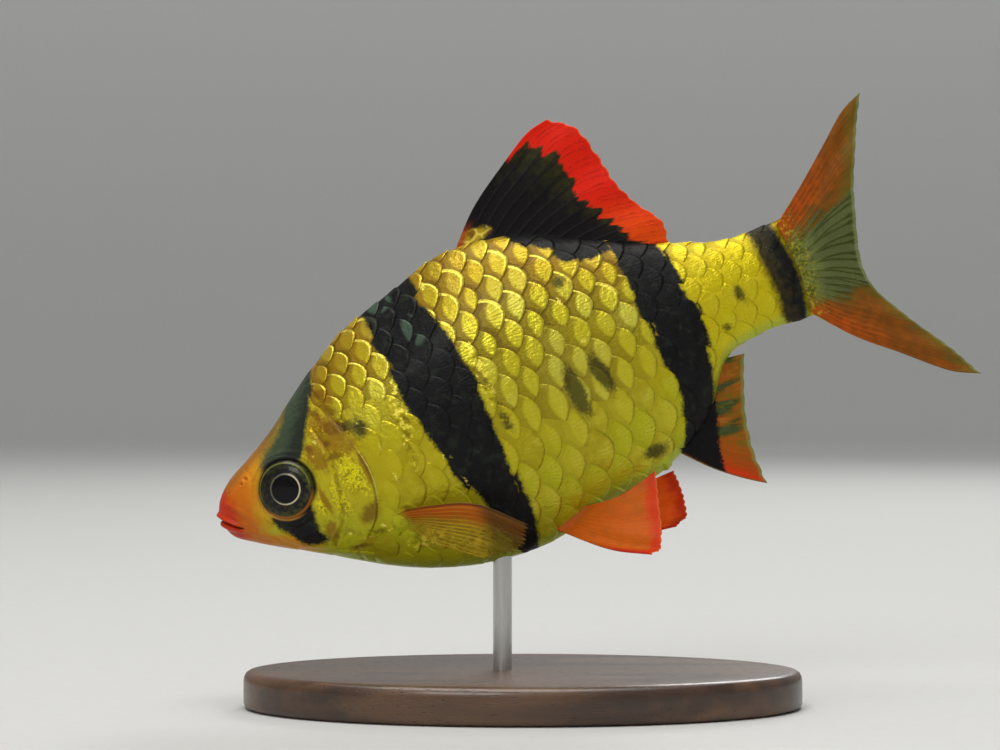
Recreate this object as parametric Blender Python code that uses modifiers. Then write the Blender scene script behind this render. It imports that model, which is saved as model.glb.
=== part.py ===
"""A life-size tiger barb, nose down as it swims, held over an oval base by one rod.

The fish is modelled level in its own frame: +X runs from the snout to the tail, +Z is up
and its left side faces -Y. An empty then tips it nose down and lifts it over the stand.
"""

import bisect
import functools
import math

import bmesh
import bpy
import numpy as np
from mathutils import Matrix, Vector

MM = 0.001

# How the fish hangs over its stand
PITCH = math.radians(22.0)  # the tail is carried this much higher than the snout
SNOUT_AT = Vector((-24.0, 0.0, 15.3))
GAP = 0.3  # between pieces that touch

# The body, measured from the snout: distance, back, belly and half width, in millimetres
STATIONS = (
    ("tip of the snout", 0.0, -0.5, -0.5, 0.0),
    ("lips", 0.3, 0.6, -1.9, 0.95),
    ("corner of the mouth", 1.8, 2.1, -3.2, 1.9),
    ("nostril", 4.0, 3.25, -4.6, 2.7),
    ("eye", 6.2, 4.5, -5.9, 3.3),
    ("cheek", 8.5, 6.15, -7.35, 3.8),
    ("nape", 11.0, 7.85, -8.85, 4.25),
    ("shoulder", 14.2, 9.65, -10.35, 4.6),
    ("breast", 18.5, 11.0, -11.6, 4.8),
    ("dorsal fin, front", 24.5, 12.45, -11.8, 4.5),
    ("flank", 28.5, 12.0, -10.75, 4.0),
    ("vent", 34.5, 9.4, -9.75, 3.05),
    ("anal fin, middle", 39.3, 7.1, -6.8, 2.2),
    ("anal fin, end", 41.4, 6.35, -4.0, 1.9),
    ("tail stalk", 45.0, 5.15, -2.9, 1.5),
    ("root of the tail fin", 49.3, 5.0, -3.2, 1.0),
)
WIDEST_AT = 0.49  # share of the height, from the belly up
NAPE_RIDGE = 1.35  # 1 is a round back, 2 a sharp one
BELLY_KEEL = 1.12
RIDGE_FROM, RIDGE_FULL = 2.0, 12.0  # the back sharpens between these distances

# The gill opening parts the head from the torso
GILL_BASE, GILL_LEAN = 10.45, 0.09
GILL_BULGE, GILL_HEIGHT, GILL_CENTRE = 2.45, 3.8, -1.3
TORSO_END = 41.5
TAIL_END, TAIL_END_BULGE = 49.3, 0.35

# The gill cover, a plate let into the side of the head
COVER_MIDDLE, COVER_LEAN = 10.45, 0.45
COVER_CENTRE, COVER_HALF_HEIGHT = -1.4, 4.8
COVER_FRONT, COVER_REAR_INSET = 1.5, 0.25
COVER_PROUD, COVER_DEPTH = 0.16, 0.75
COVER_TAPER = 0.93  # how far its top and bottom narrow

# The eye
EYE_AT = (5.84, -0.19)
EYE_RADIUS, EYE_HALF_DEPTH, EYE_PROUD = 2.25, 1.45, 0.35
LENS_RADIUS, LENS_PROUD = 1.25, 0.12
RIM_THICK, RIM_SINK, RIM_STEPS = 0.44, 0.06, 22  # the fold of skin round the socket

# The mouth and nostrils
MOUTH_FRONT, MOUTH_CORNER = (0.0, -0.62), (1.45, -1.85)
MOUTH_SLOT = 0.24
LIP_RADIUS, LIP_CORNER_RADIUS, LIP_SINK = 0.36, 0.2, 0.12
NOSTRILS = ((2.55, 1.35, 0.22), (3.2, 1.75, 0.27))

# The stand
BASE_LENGTH, BASE_WIDTH, BASE_THICK, BASE_BEVEL = 44.0, 26.0, 3.0, 0.6
ROD_RADIUS, ROD_X = 0.75, -1.6
ROD_IN_BASE, ROD_IN_BODY = 1.8, 1.6

# The fins: membrane, and the rays raised on it
MEMBRANE, RAY_RIDGE = 0.5, 0.36
MARGIN_THICK = 0.4
RIDGE_TAPER = 0.7  # the share of a ridge's height lost by the margin
MARGIN_NOTCH = 0.035  # how far the margin dips between rays, as a share of their length
# Across a ray: the place as a share of the space between rays, the ridge, and the membrane
RAY_PROFILE = ((-0.17, 0.0, 0.0), (0.0, 1.0, 0.0), (0.17, 0.0, 0.0), (0.5, 0.0, 1.0))
DORSAL_BASE = (24.8, 36.3)
ANAL_BASE = (35.6, 41.3)
ROOT_CLEAR = GAP + 0.05  # from the back or belly to a middle fin
ROOT_SUNK = 0.35  # how deep a paired fin starts before its root is trimmed
VENT_AT, VENT_RADIUS = 34.2, 0.55

COLOURS = {
    "skin": ((0.50, 0.40, 0.05), 0.35, 0.3),
    "gill_cover": ((0.55, 0.42, 0.06), 0.3, 0.4),
    "eye": ((0.03, 0.03, 0.02), 0.08, 0.0),
    "dorsal_fin": ((0.06, 0.02, 0.015), 0.4, 0.0),
    "red_fin": ((0.70, 0.09, 0.02), 0.4, 0.0),
    "stand_wood": ((0.07, 0.04, 0.025), 0.35, 0.0),
    "stand_metal": ((0.60, 0.60, 0.58), 0.25, 1.0),
}


def smooth_curve(knots, values):
    """The smooth curve through values at rising knots, as a function."""
    slopes = np.gradient(values, knots, axis=0)
    inner_knots = knots[1:-1]

    def read(x):
        k = bisect.bisect_right(inner_knots, x)
        h = knots[k + 1] - knots[k]
        s = (x - knots[k]) / h
        return (
            (2 * s**3 - 3 * s**2 + 1) * values[k]
            + (s**3 - 2 * s**2 + s) * h * slopes[k]
            + (3 * s**2 - 2 * s**3) * values[k + 1]
            + (s**3 - s**2) * h * slopes[k + 1]
        )

    return read


def edge_curve(points):
    """A smooth curve through a few points, read from 0 at the first to 1 at the last."""
    knots = [k / (len(points) - 1) for k in range(len(points))]
    return smooth_curve(knots, np.array(points, float))


def smooth_step(low, high, x):
    s = min(max((x - low) / (high - low), 0.0), 1.0)
    return s * s * (3 - 2 * s)


# Read over the root of the distance, the blunt snout comes out round.
STATION_ROOTS = [math.sqrt(row[1]) for row in STATIONS]
BACK, BELLY, HALF_WIDTH = (
    smooth_curve(STATION_ROOTS, [row[column] for row in STATIONS]) for column in (2, 3, 4)
)


def back(x):
    return BACK(math.sqrt(x))


def belly(x):
    return BELLY(math.sqrt(x))


def half_width(x):
    return HALF_WIDTH(math.sqrt(x))


def back_ridge(x):
    return 1.0 + (NAPE_RIDGE - 1.0) * smooth_step(RIDGE_FROM, RIDGE_FULL, x)


def widest_height(x):
    return belly(x) + WIDEST_AT * (back(x) - belly(x))


def body_point(x, angle):
    """The skin at a distance from the snout and an angle down from the back, left side first."""
    middle = widest_height(x)
    if math.cos(angle) > 0:
        reach, power = back(x) - middle, back_ridge(x)
    else:
        reach, power = middle - belly(x), BELLY_KEEL
    out = abs(math.sin(angle)) ** power * half_width(x)
    return Vector((x, -math.copysign(out, math.sin(angle)), middle + reach * math.cos(angle)))


def side(x, z):
    """How far the skin lies from the middle plane at a place seen from the side."""
    middle = widest_height(x)
    if z > middle:
        share, power = (z - middle) / (back(x) - middle), back_ridge(x)
    else:
        share, power = (middle - z) / (middle - belly(x)), BELLY_KEEL
    return half_width(x) * max(1 - share * share, 0.0) ** (power / 2)


def side_normal(x, z):
    """The outward direction of the left side."""
    step = 0.05
    slope_x = (side(x + step, z) - side(x - step, z)) / (2 * step)
    slope_z = (side(x, z + step) - side(x, z - step)) / (2 * step)
    return Vector((-slope_x, -1.0, -slope_z)).normalized()


def back_line(x, clear):
    """A point above the back, clear of it by a distance square to it."""
    slope = (back(x + 0.1) - back(x - 0.1)) / 0.2
    out = Vector((-slope, 0.0, 1.0)).normalized()
    return tuple(Vector((x, 0.0, back(x))) + out * clear)


def belly_line(x, clear):
    """A point below the belly, clear of it by a distance square to it."""
    slope = (belly(x + 0.1) - belly(x - 0.1)) / 0.2
    out = Vector((slope, 0.0, -1.0)).normalized()
    return tuple(Vector((x, 0.0, belly(x))) + out * clear)


def beside(x, z, clear, hand):
    """A point off the side of the body, on the left for a hand of -1 and the right for 1."""
    point = Vector((x, -side(x, z), z)) + side_normal(x, z) * clear
    return (point.x, -hand * point.y, point.z)


def gill_line(z):
    """Where the head ends, at a height."""
    bulge = math.exp(-(((z - GILL_CENTRE) / GILL_HEIGHT) ** 2))
    return GILL_BASE + GILL_LEAN * z + GILL_BULGE * bulge


@functools.lru_cache(maxsize=None)
def gill_x(angle):
    """Where the head ends, at an angle round the body. A few rounds settle the height."""
    x = GILL_BASE
    for _ in range(12):
        x = gill_line(body_point(x, angle).z)
    return x


def tail_end_x(angle):
    """The rear edge of the tail stalk, which bulges back at its middle."""
    return TAIL_END + TAIL_END_BULGE * (1 - abs(math.cos(angle)) ** 2)


def material(name):
    colour, roughness, metallic = COLOURS[name]
    made = bpy.data.materials.get(name) or bpy.data.materials.new(name)
    made.use_nodes = True
    shader = made.node_tree.nodes["Principled BSDF"]
    shader.inputs["Base Color"].default_value = (*colour, 1.0)
    shader.inputs["Roughness"].default_value = roughness
    shader.inputs["Metallic"].default_value = metallic
    return made


def object_from(bm, name, collection, finish=None, keep_facing=False):
    """Turns a bmesh in millimetres into a smooth-shaded object in metres."""
    if not keep_facing:
        bmesh.ops.recalc_face_normals(bm, faces=bm.faces)
    bmesh.ops.scale(bm, vec=(MM, MM, MM), verts=bm.verts)
    mesh = bpy.data.meshes.new(name)
    bm.to_mesh(mesh)
    bm.free()
    mesh.shade_smooth()
    made = bpy.data.objects.new(name, mesh)
    collection.objects.link(made)
    if finish:
        mesh.materials.append(material(finish))
    return made


def largest_surface(mesh):
    """Drops every closed surface but the largest, and so any scrap or sealed hollow."""
    bm = bmesh.new()
    bm.from_mesh(mesh)
    waiting, surfaces = set(bm.faces), []
    while waiting:
        surface = [waiting.pop()]
        for face in surface:
            for edge in face.edges:
                for other in edge.link_faces:
                    if other in waiting:
                        waiting.remove(other)
                        surface.append(other)
        surfaces.append(surface)
    surfaces.sort(key=lambda faces: sum(face.calc_area() for face in faces))
    for surface in surfaces[:-1]:
        bmesh.ops.delete(bm, geom=surface, context="FACES")
    bmesh.ops.recalc_face_normals(bm, faces=bm.faces)
    bm.to_mesh(mesh)
    bm.free()


def shape_of(made):
    """The object's mesh with its modifiers applied."""
    bpy.context.view_layer.update()
    graph = bpy.context.evaluated_depsgraph_get()
    return bpy.data.meshes.new_from_object(made.evaluated_get(graph))


def combine(target, operation, others, solver="EXACT"):
    """Joins other closed meshes to the target, or cuts them from it, and removes them."""
    helpers = bpy.data.collections.new("helpers")
    for other in others:
        other.users_collection[0].objects.unlink(other)
        helpers.objects.link(other)
    bpy.context.scene.collection.children.link(helpers)
    modifier = target.modifiers.new(operation.lower(), "BOOLEAN")
    modifier.operation = operation
    modifier.operand_type = "COLLECTION"
    modifier.collection = helpers
    modifier.solver = solver
    mesh = shape_of(target)
    target.modifiers.clear()
    target.data = mesh
    largest_surface(mesh)
    mesh.name = target.name
    for other in others:
        bpy.data.objects.remove(other)
    bpy.data.collections.remove(helpers)


def skin_roll(name, route, radius, closed, collection):
    """A roll of flesh along a route of points, each with its share of the radius."""
    data = bpy.data.curves.new(name, "CURVE")
    data.dimensions = "3D"
    data.bevel_depth = radius * MM
    data.bevel_resolution = 1
    data.use_fill_caps = not closed
    spline = data.splines.new("POLY")
    spline.use_cyclic_u = closed
    spline.points.add(len(route) - 1)
    for point, (place, share) in zip(spline.points, route):
        point.co = (*(place * MM), 1.0)
        point.radius = share
    curve = bpy.data.objects.new(name, data)
    collection.objects.link(curve)
    mesh = shape_of(curve)
    bpy.data.objects.remove(curve)
    bm = bmesh.new()
    bm.from_mesh(mesh)
    bmesh.ops.remove_doubles(bm, verts=bm.verts, dist=0.00001)
    bmesh.ops.recalc_face_normals(bm, faces=bm.faces)
    bm.to_mesh(mesh)
    bm.free()
    made = bpy.data.objects.new(name, mesh)
    collection.objects.link(made)
    return made


def body_length(name, starts, ends, collection, rings, caps, segments, grow=0.0):
    """A length of the body between two lines round it: a ball drawn out along the stations.

    starts and ends give the distance from the snout at each angle. caps says how many of
    the rings close the front and the rear, and the snout itself needs none.
    """
    bm = bmesh.new()
    bmesh.ops.create_uvsphere(bm, u_segments=segments, v_segments=rings, radius=1.0)
    front_cap, rear_cap = caps
    last_side = rings - rear_cap
    for vertex in bm.verts:
        co = vertex.co
        ring = round((0.5 + math.asin(max(-1.0, min(1.0, co.z))) / math.pi) * rings)
        angle = math.atan2(co.y, co.x)
        start, end = starts(angle), ends(angle)
        if ring < front_cap:
            share, x = ring / front_cap, start
        elif ring > last_side:
            share, x = (rings - ring) / rear_cap, end
        else:
            share = 1.0
            run = (ring - front_cap) / (last_side - front_cap)
            if not front_cap:
                run **= 1.5  # closer rings at the snout
            x = start + run * (end - start)
        edge = body_point(x, angle)
        if share < 1.0:
            line = starts if ring < front_cap else ends
            middle_x = 0.5 * (line(0.5 * math.pi) + line(0.0))
            centre = Vector((middle_x, 0.0, widest_height(middle_x)))
            edge = centre.lerp(edge, share)
        out = Vector((0.0, -math.sin(angle), math.cos(angle)))
        vertex.co = edge + out * grow * share
    return object_from(bm, name, collection, "skin")


def cover_plate(name, grow, collection, finish=None):
    """The left gill cover, a thin plate over the side of the head. grow makes its recess."""
    bm = bmesh.new()
    bmesh.ops.create_grid(bm, x_segments=8, y_segments=12, size=1.0)
    for vertex in bm.verts:
        across = vertex.co.x
        level = math.sin(0.5 * math.pi * vertex.co.y)
        chord = (1 - COVER_TAPER * abs(level) ** 3) ** 0.5
        height = COVER_CENTRE + (COVER_HALF_HEIGHT + grow) * level
        middle = COVER_MIDDLE + COVER_LEAN * level
        if across > 0:
            reach = (gill_line(height) - COVER_REAR_INSET - middle) * chord + 3 * grow
        else:
            reach = COVER_FRONT * chord + grow
        x = middle + reach * across
        vertex.co = beside(x, height, COVER_PROUD + 4 * grow, -1)
    bmesh.ops.triangulate(bm, faces=bm.faces)
    bmesh.ops.recalc_face_normals(bm, faces=bm.faces)
    if sum(face.normal.y for face in bm.faces) > 0:
        bmesh.ops.reverse_faces(bm, faces=bm.faces)
    made = object_from(bm, name, collection, finish, keep_facing=True)
    solidify = made.modifiers.new("plate", "SOLIDIFY")
    solidify.thickness = (COVER_PROUD + COVER_DEPTH + 5 * grow) * MM
    made.data = shape_of(made)
    made.modifiers.clear()
    return made


def mirrored(source, name):
    """The right-hand copy of a left-hand piece, with its faces turned to point out."""
    mesh = source.data.copy()
    mesh.transform(Matrix.Scale(-1.0, 4, (0.0, 1.0, 0.0)))
    mesh.flip_normals()
    made = bpy.data.objects.new(name, mesh)
    source.users_collection[0].objects.link(made)
    return made


def eye(name, grow, collection, finish=None):
    """The left eyeball, a flattened ball with a low lens, set square to the side of the head."""
    x, z = EYE_AT
    bm = bmesh.new()
    bmesh.ops.create_uvsphere(bm, u_segments=20, v_segments=10, radius=1.0)
    lens = LENS_RADIUS / EYE_RADIUS
    for vertex in bm.verts:
        co = vertex.co
        off_axis = math.hypot(co.x, co.y)
        bulge = 0.0
        if co.z > 0 and off_axis < lens and not grow:
            bulge = LENS_PROUD * (1 - (off_axis / lens) ** 2) ** 0.5
        vertex.co = Vector((
            co.x * (EYE_RADIUS + grow),
            co.y * (EYE_RADIUS + grow),
            co.z * (EYE_HALF_DEPTH + grow) + bulge,
        ))
    out = side_normal(x, z)
    centre = Vector((x, -side(x, z), z)) + out * (EYE_PROUD - EYE_HALF_DEPTH)
    turn = out.to_track_quat("Z", "Y").to_matrix().to_4x4()
    bmesh.ops.transform(bm, matrix=Matrix.Translation(centre) @ turn, verts=bm.verts)
    return object_from(bm, name, collection, finish)


def socket_rim(name, hand, collection):
    """The fold of skin round the eye, a thin ring lying along the side of the head."""
    radius = EYE_RADIUS + GAP + 0.5 * RIM_THICK
    route = []
    for step in range(RIM_STEPS):
        turn = 2 * math.pi * step / RIM_STEPS
        x = EYE_AT[0] + radius * math.cos(turn)
        z = EYE_AT[1] + radius * math.sin(turn)
        route.append((Vector(beside(x, z, -RIM_SINK, hand)), 1.0))
    return skin_roll(name, route, 0.5 * RIM_THICK, True, collection)


def mouth_height(x):
    """The height of the mouth's cleft at a distance from the snout."""
    (x0, z0), (x1, z1) = MOUTH_FRONT, MOUTH_CORNER
    return z0 + (z1 - z0) * (x - x0) / (x1 - x0)


def lip(name, offset, collection):
    """One lip: a tapered roll along the skin from one corner of the mouth to the other."""
    corner_x = MOUTH_CORNER[0]
    front_x = 0.02
    while side(front_x, mouth_height(front_x) + offset) < 0.01:
        front_x += 0.02
    steps = 7
    route = []
    for step in range(-steps, steps + 1):
        share = abs(step) / steps
        x = front_x + (corner_x - front_x) * share**2
        z = mouth_height(x) + offset * (1 - 0.45 * share)
        out = max(side(x, z) - LIP_SINK, 0.0) if step else 0.0
        place = Vector((x + LIP_SINK * (1 - share), math.copysign(out, step), z))
        route.append((place, 1.0 + (LIP_CORNER_RADIUS / LIP_RADIUS - 1.0) * share))
    return skin_roll(name, route, LIP_RADIUS, False, collection)


def mouth_slot(collection):
    """The thin cut between the lips."""
    bm = bmesh.new()
    bmesh.ops.create_cube(bm, size=1.0)
    (x0, z0), (x1, z1) = MOUTH_FRONT, MOUTH_CORNER
    length = math.hypot(x1 - x0, z1 - z0)
    ahead = 1.0
    bmesh.ops.scale(bm, vec=(length + ahead, 6.0, MOUTH_SLOT), verts=bm.verts)
    along = Vector((x1 - x0, 0.0, z1 - z0)).normalized()
    centre = Vector((x1, 0.0, z1)) - along * 0.5 * (length + ahead)
    turn = along.to_track_quat("X", "Z").to_matrix().to_4x4()
    bmesh.ops.transform(bm, matrix=Matrix.Translation(centre) @ turn, verts=bm.verts)
    return object_from(bm, "mouth_slot", collection)


def nostril(x, z, radius, collection):
    """A small round pit in the left side of the snout."""
    bm = bmesh.new()
    bmesh.ops.create_icosphere(bm, subdivisions=1, radius=radius)
    centre = Vector((x, -side(x, z), z))
    bmesh.ops.translate(bm, vec=centre, verts=bm.verts)
    return object_from(bm, "nostril", collection)


def coons(root, margin, leading, trailing):
    """The fin's sheet, stretched between its four edges."""
    root, margin, leading, trailing = map(edge_curve, (root, margin, leading, trailing))

    def sheet(across, along):
        corners = (
            (1 - across) * (1 - along) * root(0.0)
            + across * (1 - along) * root(1.0)
            + (1 - across) * along * margin(0.0)
            + across * along * margin(1.0)
        )
        edges = (
            (1 - along) * root(across)
            + along * margin(across)
            + (1 - across) * leading(along)
            + across * trailing(along)
        )
        return Vector(edges - corners)

    return sheet


def fin(name, sheet, finish, collection, rays, rows, root_thick):
    """A fin: a thin sheet with its rays raised as ridges on both faces.

    The sheet is split into triangles before it is thickened, so that both faces split alike.
    """
    columns = []
    for ray in range(rays):
        for offset, ridge, between in RAY_PROFILE:
            place = (ray + offset) / (rays - 1)
            if 0.0 <= place <= 1.0:
                columns.append((place, ridge, between))
    thickest = root_thick + RAY_RIDGE
    bm = bmesh.new()
    bmesh.ops.create_grid(bm, x_segments=len(columns) - 1, y_segments=rows, size=0.5)
    shares = {}
    for vertex in bm.verts:
        across, ridge, between = columns[round((vertex.co.x + 0.5) * (len(columns) - 1))]
        along = vertex.co.y + 0.5
        notch = MARGIN_NOTCH * between * smooth_step(0.8, 1.0, along)
        vertex.co = sheet(across, along - notch)
        thick = root_thick + (MEMBRANE - root_thick) * smooth_step(0.0, 0.5, along)
        thick += (MARGIN_THICK - MEMBRANE) * smooth_step(0.75, 1.0, along)
        thick += RAY_RIDGE * ridge * (1 - RIDGE_TAPER * along)
        shares[vertex.index] = thick / thickest
    bmesh.ops.triangulate(bm, faces=bm.faces)
    made = object_from(bm, name, collection, finish)
    group = made.vertex_groups.new(name="thickness")
    for index, share in shares.items():
        group.add([index], share, "REPLACE")
    solidify = made.modifiers.new("thickness", "SOLIDIFY")
    solidify.thickness = thickest * MM
    solidify.offset = 0.0
    solidify.vertex_group = group.name
    return made


def dorsal_fin(collection):
    front, rear = DORSAL_BASE
    root = [back_line(front + (rear - front) * k / 4, ROOT_CLEAR) for k in range(5)]
    leading = (root[0], (27.6, 0, 14.75), (31.0, 0, 17.05), (33.7, 0, 18.6), (35.7, 0, 19.0))
    margin = (leading[-1], (37.7, 0, 16.0), (38.6, 0, 12.6), (39.9, 0, 9.3), (40.8, 0, 7.1))
    trailing = (root[-1], (38.4, 0, 8.0), margin[-1])
    sheet = coons(root, margin, leading, trailing)
    return fin("dorsal_fin", sheet, "dorsal_fin", collection, rays=11, rows=7, root_thick=0.9)


def anal_fin(collection):
    front, rear = ANAL_BASE
    root = [belly_line(front + (rear - front) * k / 4, ROOT_CLEAR) for k in range(5)]
    leading = (root[0], (37.4, 0, -11.2), (39.2, 0, -12.8), (40.85, 0, -13.9))
    margin = (leading[-1], (40.8, 0, -11.4), (41.3, 0, -8.6), (42.1, 0, -6.0), (43.1, 0, -4.0))
    trailing = (root[-1], margin[-1])
    sheet = coons(root, margin, leading, trailing)
    return fin("anal_fin", sheet, "red_fin", collection, rays=8, rows=6, root_thick=0.8)


def caudal_fin(collection):
    top, bottom = 4.75, -3.05
    base = TAIL_END + GAP
    middle = base + TAIL_END_BULGE
    root = (
        (base, 0, top),
        (base + 0.26, 0, 0.75 * top + 0.25 * bottom),
        (middle, 0, 0.5 * (top + bottom)),
        (base + 0.26, 0, 0.25 * top + 0.75 * bottom),
        (base, 0, bottom),
    )
    upper = (root[0], (52.2, 0, 6.75), (55.0, 0, 9.0), (57.4, 0, 10.95), (59.3, 0, 11.8))
    lower = (root[-1], (51.8, 0, -5.9), (54.6, 0, -8.4), (57.6, 0, -11.1), (59.9, 0, -12.3))
    margin = (
        upper[-1],
        (57.6, 0, 8.4),
        (55.7, 0, 3.9),
        (54.4, 0, -1.6),
        (55.9, 0, -5.4),
        (58.2, 0, -9.1),
        lower[-1],
    )
    sheet = coons(root, margin, upper, lower)
    return fin("caudal_fin", sheet, "red_fin", collection, rays=19, rows=6, root_thick=1.3)


def trim_to_body(piece, collection):
    """Cuts a paired fin's root to the side it grows from, a gap clear of it."""
    grown = body_length(
        "grown",
        lambda angle: GILL_BASE,
        lambda angle: TORSO_END,
        collection,
        rings=26,
        caps=(1, 1),
        segments=36,
        grow=GAP,
    )
    combine(piece, "DIFFERENCE", [grown], "MANIFOLD")
    return piece


def pectoral_fin(name, hand, collection):
    root = (beside(12.9, -5.2, -ROOT_SUNK, hand), beside(13.5, -6.7, -ROOT_SUNK, hand))
    leading = (root[0], (15.9, hand * 5.8, -5.5), (19.3, hand * 6.7, -6.7), (22.4, hand * 7.0, -9.6))
    margin = (leading[-1], (21.4, hand * 6.6, -11.1), (18.4, hand * 5.9, -10.9))
    trailing = (root[-1], (15.7, hand * 5.4, -8.7), margin[-1])
    sheet = coons(root, margin, leading, trailing)
    made = fin(name, sheet, "red_fin", collection, rays=10, rows=5, root_thick=0.7)
    return trim_to_body(made, collection)


def pelvic_fin(name, hand, spread, reach, collection):
    """A pelvic fin. spread carries its outer ray away from the body and reach draws it back."""
    root = (beside(24.1, -11.2, -ROOT_SUNK, hand), beside(26.3, -10.45, -ROOT_SUNK, hand))
    tip = (31.0 + reach, hand * (3.2 + spread), -15.6 + 0.28 * reach)
    inner = (32.8 + 0.6 * reach, hand * 1.7, -10.75)
    leading = (root[0], (27.3 + 0.4 * reach, hand * (2.6 + 0.45 * spread), -14.0), tip)
    margin = (tip, (32.6 + 0.9 * reach, hand * (2.6 + 0.4 * spread), -13.1), inner)
    trailing = (root[-1], (29.5 + 0.3 * reach, hand * 1.9, -11.3), inner)
    sheet = coons(root, margin, leading, trailing)
    made = fin(name, sheet, "red_fin", collection, rays=9, rows=5, root_thick=0.7)
    return trim_to_body(made, collection)


def head(collection):
    """The head: the snout end of the body with lips, mouth, nostrils and room for the eyes."""
    made = body_length(
        "head", lambda angle: 0.0, gill_x, collection, rings=22, caps=(0, 2), segments=32
    )
    raised = [lip("upper_lip", 0.42, collection), lip("lower_lip", -0.42, collection)]
    raised += [socket_rim("left_rim", -1, collection), socket_rim("right_rim", 1, collection)]
    combine(made, "UNION", raised)
    cutters = [mouth_slot(collection)]
    left = [eye("socket", GAP, collection), cover_plate("recess", GAP, collection)]
    left += [nostril(x, z, radius, collection) for x, z, radius in NOSTRILS]
    cutters += left + [mirrored(cutter, cutter.name) for cutter in left]
    combine(made, "DIFFERENCE", cutters)
    return made


def vent(collection):
    """The low bump of the vent, ahead of the anal fin."""
    x, radius = VENT_AT, VENT_RADIUS
    bm = bmesh.new()
    bmesh.ops.create_uvsphere(bm, u_segments=10, v_segments=6, radius=radius)
    bmesh.ops.scale(bm, vec=(1.5, 1.0, 1.0), verts=bm.verts)
    bmesh.ops.translate(bm, vec=(x, 0.0, belly(x) + 0.3 * radius), verts=bm.verts)
    return object_from(bm, "vent", collection)


def rod(name, radius, low, high, collection, finish=None):
    """An upright round bar between two heights."""
    bm = bmesh.new()
    bmesh.ops.create_cone(
        bm, cap_ends=True, segments=20, radius1=radius, radius2=radius, depth=high - low
    )
    bmesh.ops.translate(bm, vec=(ROD_X, 0.0, 0.5 * (low + high)), verts=bm.verts)
    return object_from(bm, name, collection, finish)


def belly_height_over(world_x, pose):
    """The world height of the belly line over a place on the base."""
    for step in range(1000, 4000):
        x = step * 0.01
        point = pose @ Vector((x * MM, 0.0, belly(x) * MM))
        if point.x >= world_x * MM:
            return point.z / MM
    raise ValueError("the rod misses the belly")


def stand_base(collection):
    """An oval slab with eased edges and a blind hole for the rod."""
    bm = bmesh.new()
    bmesh.ops.create_cone(
        bm, cap_ends=True, segments=44, radius1=0.5, radius2=0.5, depth=BASE_THICK
    )
    bmesh.ops.scale(bm, vec=(BASE_LENGTH, BASE_WIDTH, 1.0), verts=bm.verts)
    bmesh.ops.translate(bm, vec=(0.0, 0.0, 0.5 * BASE_THICK), verts=bm.verts)
    rim = [edge for edge in bm.edges if abs(edge.verts[0].co.z - edge.verts[1].co.z) < 1e-6]
    bmesh.ops.bevel(bm, geom=rim, offset=BASE_BEVEL, segments=2, profile=0.5, affect="EDGES")
    made = object_from(bm, "stand_base", collection, "stand_wood")
    hole = rod(
        "hole", ROD_RADIUS + GAP, BASE_THICK - ROD_IN_BASE - GAP, BASE_THICK + 1.0, collection
    )
    combine(made, "DIFFERENCE", [hole])
    return made


def build():
    for old in list(bpy.data.objects):
        bpy.data.objects.remove(old)
    parts = bpy.data.collections.new("tiger_barb")
    bpy.context.scene.collection.children.link(parts)
    pose = Matrix.Translation(SNOUT_AT * MM) @ Matrix.Rotation(-PITCH, 4, "Y")

    top = belly_height_over(ROD_X, pose)
    torso = body_length(
        "torso",
        lambda angle: gill_x(angle) + GAP,
        lambda angle: TORSO_END,
        parts,
        rings=26,
        caps=(2, 2),
        segments=36,
    )
    hole = rod("rod_hole", ROD_RADIUS + GAP, 0.0, top + ROD_IN_BODY + GAP, parts)
    hole.data.transform(pose.inverted())
    combine(torso, "UNION", [vent(parts)])
    combine(torso, "DIFFERENCE", [hole])
    tail = body_length(
        "tail_stalk",
        lambda angle: TORSO_END + GAP,
        tail_end_x,
        parts,
        rings=10,
        caps=(2, 2),
        segments=28,
    )
    left_eye = eye("eye_left", 0.0, parts, "eye")
    left_cover = cover_plate("gill_cover_left", 0.0, parts, "gill_cover")
    fish = [
        head(parts),
        torso,
        tail,
        left_eye,
        mirrored(left_eye, "eye_right"),
        left_cover,
        mirrored(left_cover, "gill_cover_right"),
        dorsal_fin(parts),
        anal_fin(parts),
        caudal_fin(parts),
        pectoral_fin("pectoral_fin_left", -1, parts),
        pectoral_fin("pectoral_fin_right", 1, parts),
        pelvic_fin("pelvic_fin_left", -1, 3.6, 0.0, parts),
        pelvic_fin("pelvic_fin_right", 1, 0.8, 2.4, parts),
    ]
    swimmer = bpy.data.objects.new("swimming_pose", None)
    swimmer.matrix_world = pose
    parts.objects.link(swimmer)
    for piece in fish:
        piece.parent = swimmer

    stand_base(parts)
    rod("stand_rod", ROD_RADIUS, BASE_THICK - ROD_IN_BASE, top + ROD_IN_BODY, parts, "stand_metal")


build()
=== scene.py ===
"""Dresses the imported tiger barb: its stand, skin, scales, eyes and fins, in a pale studio.

The fish is worked out level and in millimetres: x runs from the snout to the tail, y is
negative on its left side and z is up. swimming() tips it nose down over the stand.
"""

import math

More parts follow.
